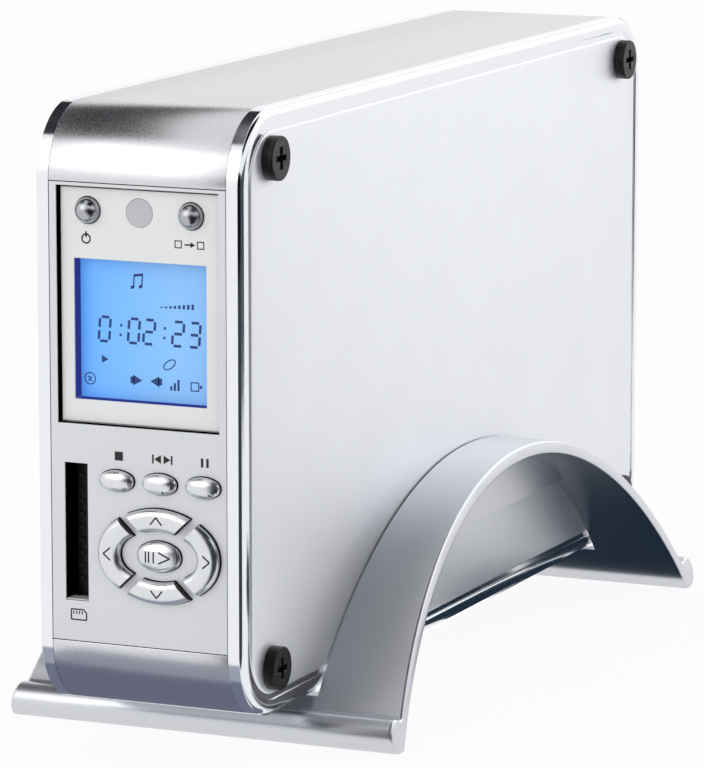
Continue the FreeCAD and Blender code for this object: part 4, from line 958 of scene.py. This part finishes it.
class Print:
    """Marks in one mesh with their faces at a depth called near. Points are given as (x, z)."""

    def __init__(self, near, depth=BEDDED):
        self.bm, self.near, self.depth = bmesh.new(), near, depth

    def at(self, x, z):
        return Matrix.Translation((x, self.near + self.depth / 2, z))

    def stroke(self, start, end, width):
        """A straight stroke between two points."""
        (x0, z0), (x1, z1) = start, end
        place = (self.at((x0 + x1) / 2, (z0 + z1) / 2)
                 @ Matrix.Rotation(-math.atan2(z1 - z0, x1 - x0), 4, "Y")
                 @ Matrix.Diagonal((math.hypot(x1 - x0, z1 - z0), self.depth, width, 1)))
        bmesh.ops.create_cube(self.bm, size=1, matrix=place)

    def disc(self, centre, radius, sides=32, turn=0.0, stretch=1.0):
        """A flat disc, or with three sides an arrowhead that points along its turn."""
        place = (self.at(*centre) @ Matrix.Rotation(-turn, 4, "Y")
                 @ Matrix.Diagonal((1, 1, stretch, 1)) @ Matrix.Rotation(math.pi / 2, 4, "X")
                 @ Matrix.Rotation(-math.pi / 2, 4, "Z"))
        bmesh.ops.create_cone(self.bm, cap_ends=True, segments=sides, radius1=radius,
                              radius2=radius, depth=self.depth, matrix=place)

    def hoop(self, centre, radius, width, **shape):
        """A flat ring: a disc whose two faces are inset and bridged through."""
        ring = Print(self.near, self.depth)
        ring.disc(centre, radius, **shape)
        ends = [face for face in ring.bm.faces if abs(face.normal.y) > 0.9]
        bmesh.ops.inset_individual(ring.bm, faces=ends, thickness=width)
        loops = [edge for face in ends for edge in face.edges]
        bmesh.ops.delete(ring.bm, geom=ends, context="FACES_ONLY")
        bmesh.ops.bridge_loops(ring.bm, edges=loops)
        mesh = bpy.data.meshes.new("ring")
        ring.bm.to_mesh(mesh)
        ring.bm.free()
        self.bm.from_mesh(mesh)
        bpy.data.meshes.remove(mesh)


# %% Marks on the sunken plate
SQUARE = {"sides": 4, "turn": math.pi / 4}
POWER_AT, BACKUP_AT = -11.1, 10.3
PLATE_MARKS_UP = BASE + 91.2


def plate_marks():
    """A power ring under the left button, and two boxes with an arrow under the right one."""
    marks = Print(PLATE_FRONT - INK)
    up = PLATE_MARKS_UP
    marks.hoop((POWER_AT, up), 1.0, 0.3)
    marks.stroke((POWER_AT, up + 0.25), (POWER_AT, up + 1.35), 0.32)
    for side in (-1, 1):
        marks.hoop((BACKUP_AT + side * 2.3, up), 1.05, 0.28, **SQUARE)
    marks.stroke((BACKUP_AT - 1.0, up), (BACKUP_AT + 0.5, up), 0.28)
    marks.disc((BACKUP_AT + 0.55, up), 0.62, sides=3)
    return marks.bm


finish_piece("plate_marks", plate_marks(), [ink_black])

# %% Marks on the fascia
STOP_AT, SKIP_AT, PAUSE_AT = -4.05, 5.0, 13.8
KEY_MARKS_UP = BASE + 50.45
KEY_MARK = 0.85                 # half the height of a key's mark
CARD_AT, CARD_UP = -12.75, BASE + 19.2
CARD_OUTLINE = [(-1.6, -1.0), (1.6, -1.0), (1.6, 0.4), (1.0, 1.0), (-1.6, 1.0)]


def fascia_marks():
    """Stop, skip and pause above the oval keys, and a card under the slot."""
    marks = Print(FRONT - INK)
    low, up, high = KEY_MARKS_UP - KEY_MARK, KEY_MARKS_UP, KEY_MARKS_UP + KEY_MARK
    marks.stroke((STOP_AT - KEY_MARK, up), (STOP_AT + KEY_MARK, up), 2 * KEY_MARK)
    for side in (-1, 1):
        marks.disc((SKIP_AT + side * 0.75, up), 0.95, sides=3, turn=0 if side > 0 else math.pi)
        for x, width in ((SKIP_AT + side * 1.95, 0.34), (PAUSE_AT + side * 0.55, 0.5)):
            marks.stroke((x, low), (x, high), width)
    corners = [(CARD_AT + x, CARD_UP + z) for x, z in CARD_OUTLINE]
    for start, end in zip(corners, corners[1:] + corners[:1]):
        marks.stroke(start, end, 0.26)
    for step in range(4):
        x = CARD_AT - 1.1 + step * 0.6
        marks.stroke((x, CARD_UP + 0.1), (x, CARD_UP + 0.7), 0.24)
    return marks.bm


finish_piece("fascia_marks", fascia_marks(), [ink_black])

# %% [markdown]
# ### Arrows on the keys
# The marks on the keys are thin black lines. On the ring, the crown of each key is flat, so two
# slim strokes make an arrow. The middle key is curved all over: there the strokes are divided
# finely, and a ray from each point finds the cap, so the line follows the curve.

# %% Key arrows
ARROW, ARROW_LINE, ARROW_DEPTH = 1.2, 0.3, 0.3
ARROW_REACH = 0.6 * ARROW       # from an arrow's middle to its tip


def arrow(right, high):
    """Two strokes that meet in a point, on the flat crown of one key of the ring."""
    marks = Print(FRONT - KEY_TOP - INK, ARROW_DEPTH)
    way = Vector((right, high))
    spot = RING_MIDDLE.xz + Vector((right * (RING_OUTER[0] + RING_INNER[0]) / 2,
                                    high * (RING_OUTER[1] + RING_INNER[1]) / 2))
    for side in (1, -1):
        heel = spot - way * ARROW_REACH + side * ARROW * Vector((high, right))
        marks.stroke(spot + way * ARROW_REACH, heel, ARROW_LINE)
    return marks.bm


for node, right, high in RING_KEYS:
    finish_piece(f"{node}_arrow", arrow(right, high), [ink_black], body=node)

# %% Bars and arrowhead on the middle key
STROKE_NEAR, STROKE_DEPTH = FRONT - KEY_TOP - 0.5, 1.0
BARS_AT, BAR_HALF = (-2.3, -1.6, -0.6), 1.1
HEAD_FROM, HEAD_TO = 0.4, 2.7
LONG_EDGE, CUTS = 0.8, 6
RAY_START = FRONT - 10
SUNK = 0.1                      # how far the back of a stroke lies in the cap


def play_marks():
    """Two bars and an open arrowhead, before the middle key."""
    marks = Print(STROKE_NEAR, STROKE_DEPTH)
    x, z = RING_MIDDLE.xz
    for shift in BARS_AT:
        marks.stroke((x + shift, z - BAR_HALF), (x + shift, z + BAR_HALF), ARROW_LINE)
    for side in (1, -1):
        marks.stroke((x + HEAD_FROM, z + side * BAR_HALF), (x + HEAD_TO, z), ARROW_LINE)
    return marks.bm


def lay_on(bm, cap):
    """Lays strokes on a curved cap: each point of theirs drops straight back onto it."""
    long_edges = [edge for edge in bm.edges if edge.calc_length() > LONG_EDGE]
    bmesh.ops.subdivide_edges(bm, edges=long_edges, cuts=CUTS, use_grid_fill=True)
    surface = BVHTree.FromBMesh(cap)
    for vert in bm.verts:
        landing = surface.ray_cast(Vector((vert.co.x, RAY_START, vert.co.z)), Y_AXIS)[0].y
        vert.co.y = landing - INK if vert.co.y < FRONT - KEY_TOP else landing + SUNK
    cap.free()
    return bm


finish_piece("play_key_marks", lay_on(play_marks(), bean_cap("play_key")), [ink_black],
             body="play_key")

# %% [markdown]
# ### What the display shows
# A segment display shows navy marks on its backlight. Digits are seven slim segments each, and the
# small signs round them are made of the same strokes, discs and rings. All of them are measured
# from the middle of the window, and the finished mesh is moved up there.

# %% Digits
DIGIT_WIDTH, DIGIT_HEIGHT = 2.2, 4.6
DIGITS_LOW = -2.5
DIGITS = ((-10.0, 0), (-3.9, 0), (-0.7, 2), (5.3, 2), (8.7, 3))     # left edge and number
COLONS = (-5.5, 3.6)
SEGMENT = 0.52
TRIM = 0.62 * SEGMENT           # what each segment stops short of the corner
SLANT = 0.08
SEGMENTS = {"top": ((0, 1), (1, 1)), "middle": ((0, 0.5), (1, 0.5)), "bottom": ((0, 0), (1, 0)),
            "left_up": ((0, 0.5), (0, 1)), "left_down": ((0, 0), (0, 0.5)),
            "right_up": ((1, 0.5), (1, 1)), "right_down": ((1, 0), (1, 0.5))}
DARK_IN = {0: ["middle"], 2: ["left_up", "right_down"], 3: ["left_up", "left_down"]}


def digit(marks, left, number):
    """One digit from its lit segments, each a little shorter than the side that it lies on."""
    for name, ends in SEGMENTS.items():
        if name not in DARK_IN[number]:
            start, end = (Vector((left + u * DIGIT_WIDTH + SLANT * v * DIGIT_HEIGHT,
                                  DIGITS_LOW + v * DIGIT_HEIGHT)) for u, v in ends)
            trim = (end - start).normalized() * TRIM
            marks.stroke(start + trim, end - trim, SEGMENT)


# %% Running time and signs
def display_marks():
    marks = Print(LCD_FACE - INK)
    for left, number in DIGITS:
        digit(marks, left, number)
    for left in COLONS:
        for up in (0.3 * DIGIT_HEIGHT, 0.7 * DIGIT_HEIGHT):
            x, z = left + SLANT * up, DIGITS_LOW + up
            marks.stroke((x - 0.22, z), (x + 0.22, z), 0.5)
    # Two joined quavers.
    for x, z in ((-2.6, 8.1), (-0.9, 8.3)):
        marks.disc((x - 0.25, z), 0.42, turn=0.4, stretch=0.75)
        marks.stroke((x, z), (x + 0.15, z + 2.3), 0.26)
    marks.stroke((-2.55, 10.35), (-0.65, 10.6), 0.5)
    # A row of rising bars.
    for step in range(8):
        x = 3.2 + step * 0.92
        marks.stroke((x, 4.55), (x, 4.75 + 0.12 * step), 0.5)
    # An arrowhead, a slanted ring, and a ring round a zigzag.
    marks.disc((-8.9, -5.95), 0.95, sides=3, stretch=0.9)
    marks.hoop((4.75, -6.15), 1.5, 0.22, turn=0.6, stretch=0.55)
    marks.hoop((-11.85, -9.85), 1.2, 0.2)
    zigzag = ((-12.3, -9.5), (-11.5, -9.7), (-12.2, -10.1), (-11.4, -10.3))
    for start, end in zip(zigzag, zigzag[1:]):
        marks.stroke(start, end, 0.2)
    # Two arrows that meet.
    for x, way, turn in ((-2.2, 1, 0.0), (2.0, -1, math.pi)):
        marks.disc((x, -9.55), 1.25, sides=3, turn=turn, stretch=0.95)
        marks.stroke((x - way * 1.2, -9.55), (x - way * 0.4, -9.55), 1.3)
    # Three signal bars and a battery.
    for step in range(3):
        x = 5.1 + 0.75 * step
        marks.stroke((x, -11.0), (x, -10.2 + 0.65 * step), 0.45)
    marks.hoop((10.0, -10.0), 1.25, 0.3, **SQUARE)
    marks.stroke((11.0, -10.0), (11.5, -10.0), 0.6)
    move(marks.bm, marks.bm.verts, (0, 0, (WINDOW_LOW + WINDOW_HIGH) / 2))
    return marks.bm


finish_piece("display_marks", display_marks(), [navy])

# %% [markdown]
# ## Studio
# The object stands on a pale floor in a white room. Camera, glossy and transmission rays see the
# room as pure white, so that metal mirrors the same background, while diffuse rays find it a
# little dimmer, which keeps the colours as they are written.

# %% Room and floor
ROOM_LIGHT = 0.78
FLOOR_WHITE = 0.93
FLOOR_SIZE = 30


def white_to_the_eye(tree):
    """1 for camera, glossy and transmission rays and 0 for the rest."""
    rays = add_node(tree, "ShaderNodeLightPath").outputs
    first = add_node(tree, "ShaderNodeMath", {0: rays["Is Camera Ray"], 1: rays["Is Glossy Ray"]},
                     operation="MAXIMUM").outputs[0]
    return add_node(tree, "ShaderNodeMath", {0: first, 1: rays["Is Transmission Ray"]},
                    operation="MAXIMUM").outputs[0]


room = bpy.data.worlds.new("white_room")
tree = empty_tree(room)
strength = add_node(tree, "ShaderNodeMapRange", {
    "Value": white_to_the_eye(tree), "To Min": ROOM_LIGHT, "To Max": 1.0}).outputs["Result"]
sky = add_node(tree, "ShaderNodeBackground", {"Color": colour("#ffffff"), "Strength": strength})
add_node(tree, "ShaderNodeOutputWorld", {"Surface": sky.outputs["Background"]})
bpy.context.scene.world = room


def floor_material():
    """Matt white board: part diffuse, which keeps the shadow, and part plain white."""
    material, tree = new_material("matt_white_board")
    matt = add_node(tree, "ShaderNodeBsdfDiffuse", {"Color": colour("#f4f4f6")})
    glow = add_node(tree, "ShaderNodeEmission", {"Color": colour("#ffffff")})
    share = add_node(tree, "ShaderNodeMath", {0: white_to_the_eye(tree), 1: FLOOR_WHITE},
                     operation="MULTIPLY")
    mixed = add_node(tree, "ShaderNodeMixShader", {0: share.outputs[0], 1: matt.outputs["BSDF"],
                                                   2: glow.outputs["Emission"]})
    add_node(tree, "ShaderNodeOutputMaterial", {"Surface": mixed.outputs["Shader"]})
    return material


def stage_sheet(name, width, height, place, material):
    """A flat sheet of the studio, laid out flat and then moved into place."""
    bm = bmesh.new()
    bmesh.ops.create_grid(bm, x_segments=1, y_segments=1, size=0.5,
                          matrix=place @ Matrix.Diagonal((width, height, 1, 1)))
    sheet = to_object(name, bm)
    sheet.data.materials.append(material)
    return sheet


stage_sheet("floor", FLOOR_SIZE, FLOOR_SIZE, Matrix.Identity(4), floor_material())

# %% [markdown]
# ### Cards
# Polished metal shows what stands round it, so cards stand there to draw its dark lines, and only
# reflections see them. A dark card above at the left gives the dark band where the top cover
# curves down, and one above at the right darkens the arch towards its foot, which sees it by way
# of the side panel. Low black and grey cards before the object and at its right draw the dark
# right-hand sides of the buttons, the keys and the rim. Small grey cards under the front edge and
# beneath the arch give the shade of a table there, and a bright one far behind lights the edges.


# %% Cards
def card(name, code, middle, way, width, height, strength=1.0):
    """A coloured card that only mirrors see, with its face turned one way."""
    material, tree = new_material(name)
    glow = add_node(tree, "ShaderNodeEmission", {"Color": colour(code), "Strength": strength})
    add_node(tree, "ShaderNodeOutputMaterial", {"Surface": glow.outputs["Emission"]})
    turn = Vector(way).to_track_quat("Z", "Y").to_matrix().to_4x4()
    sheet = stage_sheet(name, width, height, Matrix.Translation(middle) @ turn, material)
    sheet.visible_camera = sheet.visible_diffuse = sheet.visible_shadow = False
    sheet.visible_transmission = False


UP, DOWN, TO_THE_BACK, TO_THE_LEFT = (0, 0, 1), (0, 0, -1), (0, 1, 0), (-1, 0, 0)
front = FRONT * MM
curve_y, curve_z = (FRONT + CORNER) * MM, FACE_HIGH * MM      # where the top cover curves down
CARDS = (           # name, colour, middle, the way it faces, width, height and strength, in metres
    ("dark_card_above_left", "#29292d", (-0.67, curve_y + 0.37, curve_z + 0.8), DOWN, 0.72, 1.53),
    ("dark_card_above_arch", "#101013", (0.5, -0.15, 0.95), DOWN, 0.88, 1.3),
    ("black_card_front", "#101013", (0.39, front - 0.45, 0.1), TO_THE_BACK, 0.8, 0.2),
    ("black_card_near", "#101013", (0.2, front - 0.12, 0.08), TO_THE_BACK, 0.34, 0.16),
    ("grey_card_low", "#3c3e46", (0.08, front - 0.03, 0.045), TO_THE_BACK, 0.13, 0.09),
    ("grey_card_right", "#4a4d58", (0.4, -0.14, 0.08), TO_THE_LEFT, 0.6, 0.16),
    ("grey_card_before", "#a2a6b4", (-0.006, front - 0.012, 0.0105), UP, 0.056, 0.016),
    ("grey_card_beneath", "#72768a", (-0.006, front + 0.003, 0.0105), UP, 0.056, 0.014),
    ("dark_card_under", "#22303e", (0.0675, 0.045, 0.001), UP, 0.125, 0.07),
    ("white_card_behind", "#ffffff", (0.8, 1.4, 0.75), (-0.8, -1.4, -0.65), 1.6, 1.0, 1.7))
for row in CARDS:
    card(*row)
print(len(CARDS), "cards stand round the object")

# %% [markdown]
# ### Lamp
# One large soft lamp at the front left lifts what faces it, at a power that leaves the pale
# panels just under white.

# %% Soft lamp
def aim(name, data, place, target):
    """Puts a lamp or a camera in its place and turns it towards a point."""
    item = link_object(name, data)
    item.location = place
    item.rotation_euler = (target - place).to_track_quat("-Z", "Y").to_euler()
    return item


LAMP_PLACE = Vector((-0.5, -0.95, 0.62))
LAMP_WIDTH, LAMP_HEIGHT = 0.9, 0.75
LAMP_POWER = 2.1
HEART = Vector(((cad_box[0][0] + cad_box[1][0]) / 2, (cad_box[0][1] + cad_box[1][1]) / 2, 0.07))

light = bpy.data.lights.new("front_left_softbox", "AREA")
light.shape, light.energy = "RECTANGLE", LAMP_POWER
light.size, light.size_y = LAMP_WIDTH, LAMP_HEIGHT
aim("front_left_softbox", light, LAMP_PLACE, HEART)
print(f"lamp {(HEART - LAMP_PLACE).length * 100:.0f} cm away")

# %% [markdown]
# ## Camera
# A long lens from a metre away keeps the upright edges nearly parallel. The camera stands a little
# above the object, to the right of its front, so the front face and the right side both show.

# %% Camera
EYE = Vector((402.1, -931.6, 233.7)) * MM
TARGET = Vector((43.75, -109.1, 76.85)) * MM

camera_data = bpy.data.cameras.new("long_lens")
camera_data.sensor_fit = "VERTICAL"
camera_data.sensor_height = 36
camera_data.lens = 232.56
camera_data.clip_end = 20
bpy.context.scene.camera = aim("camera", camera_data, EYE, TARGET)
bpy.context.scene.view_settings.view_transform = "Standard"
print(f"camera {(EYE - TARGET).length * 100:.0f} cm from the front")
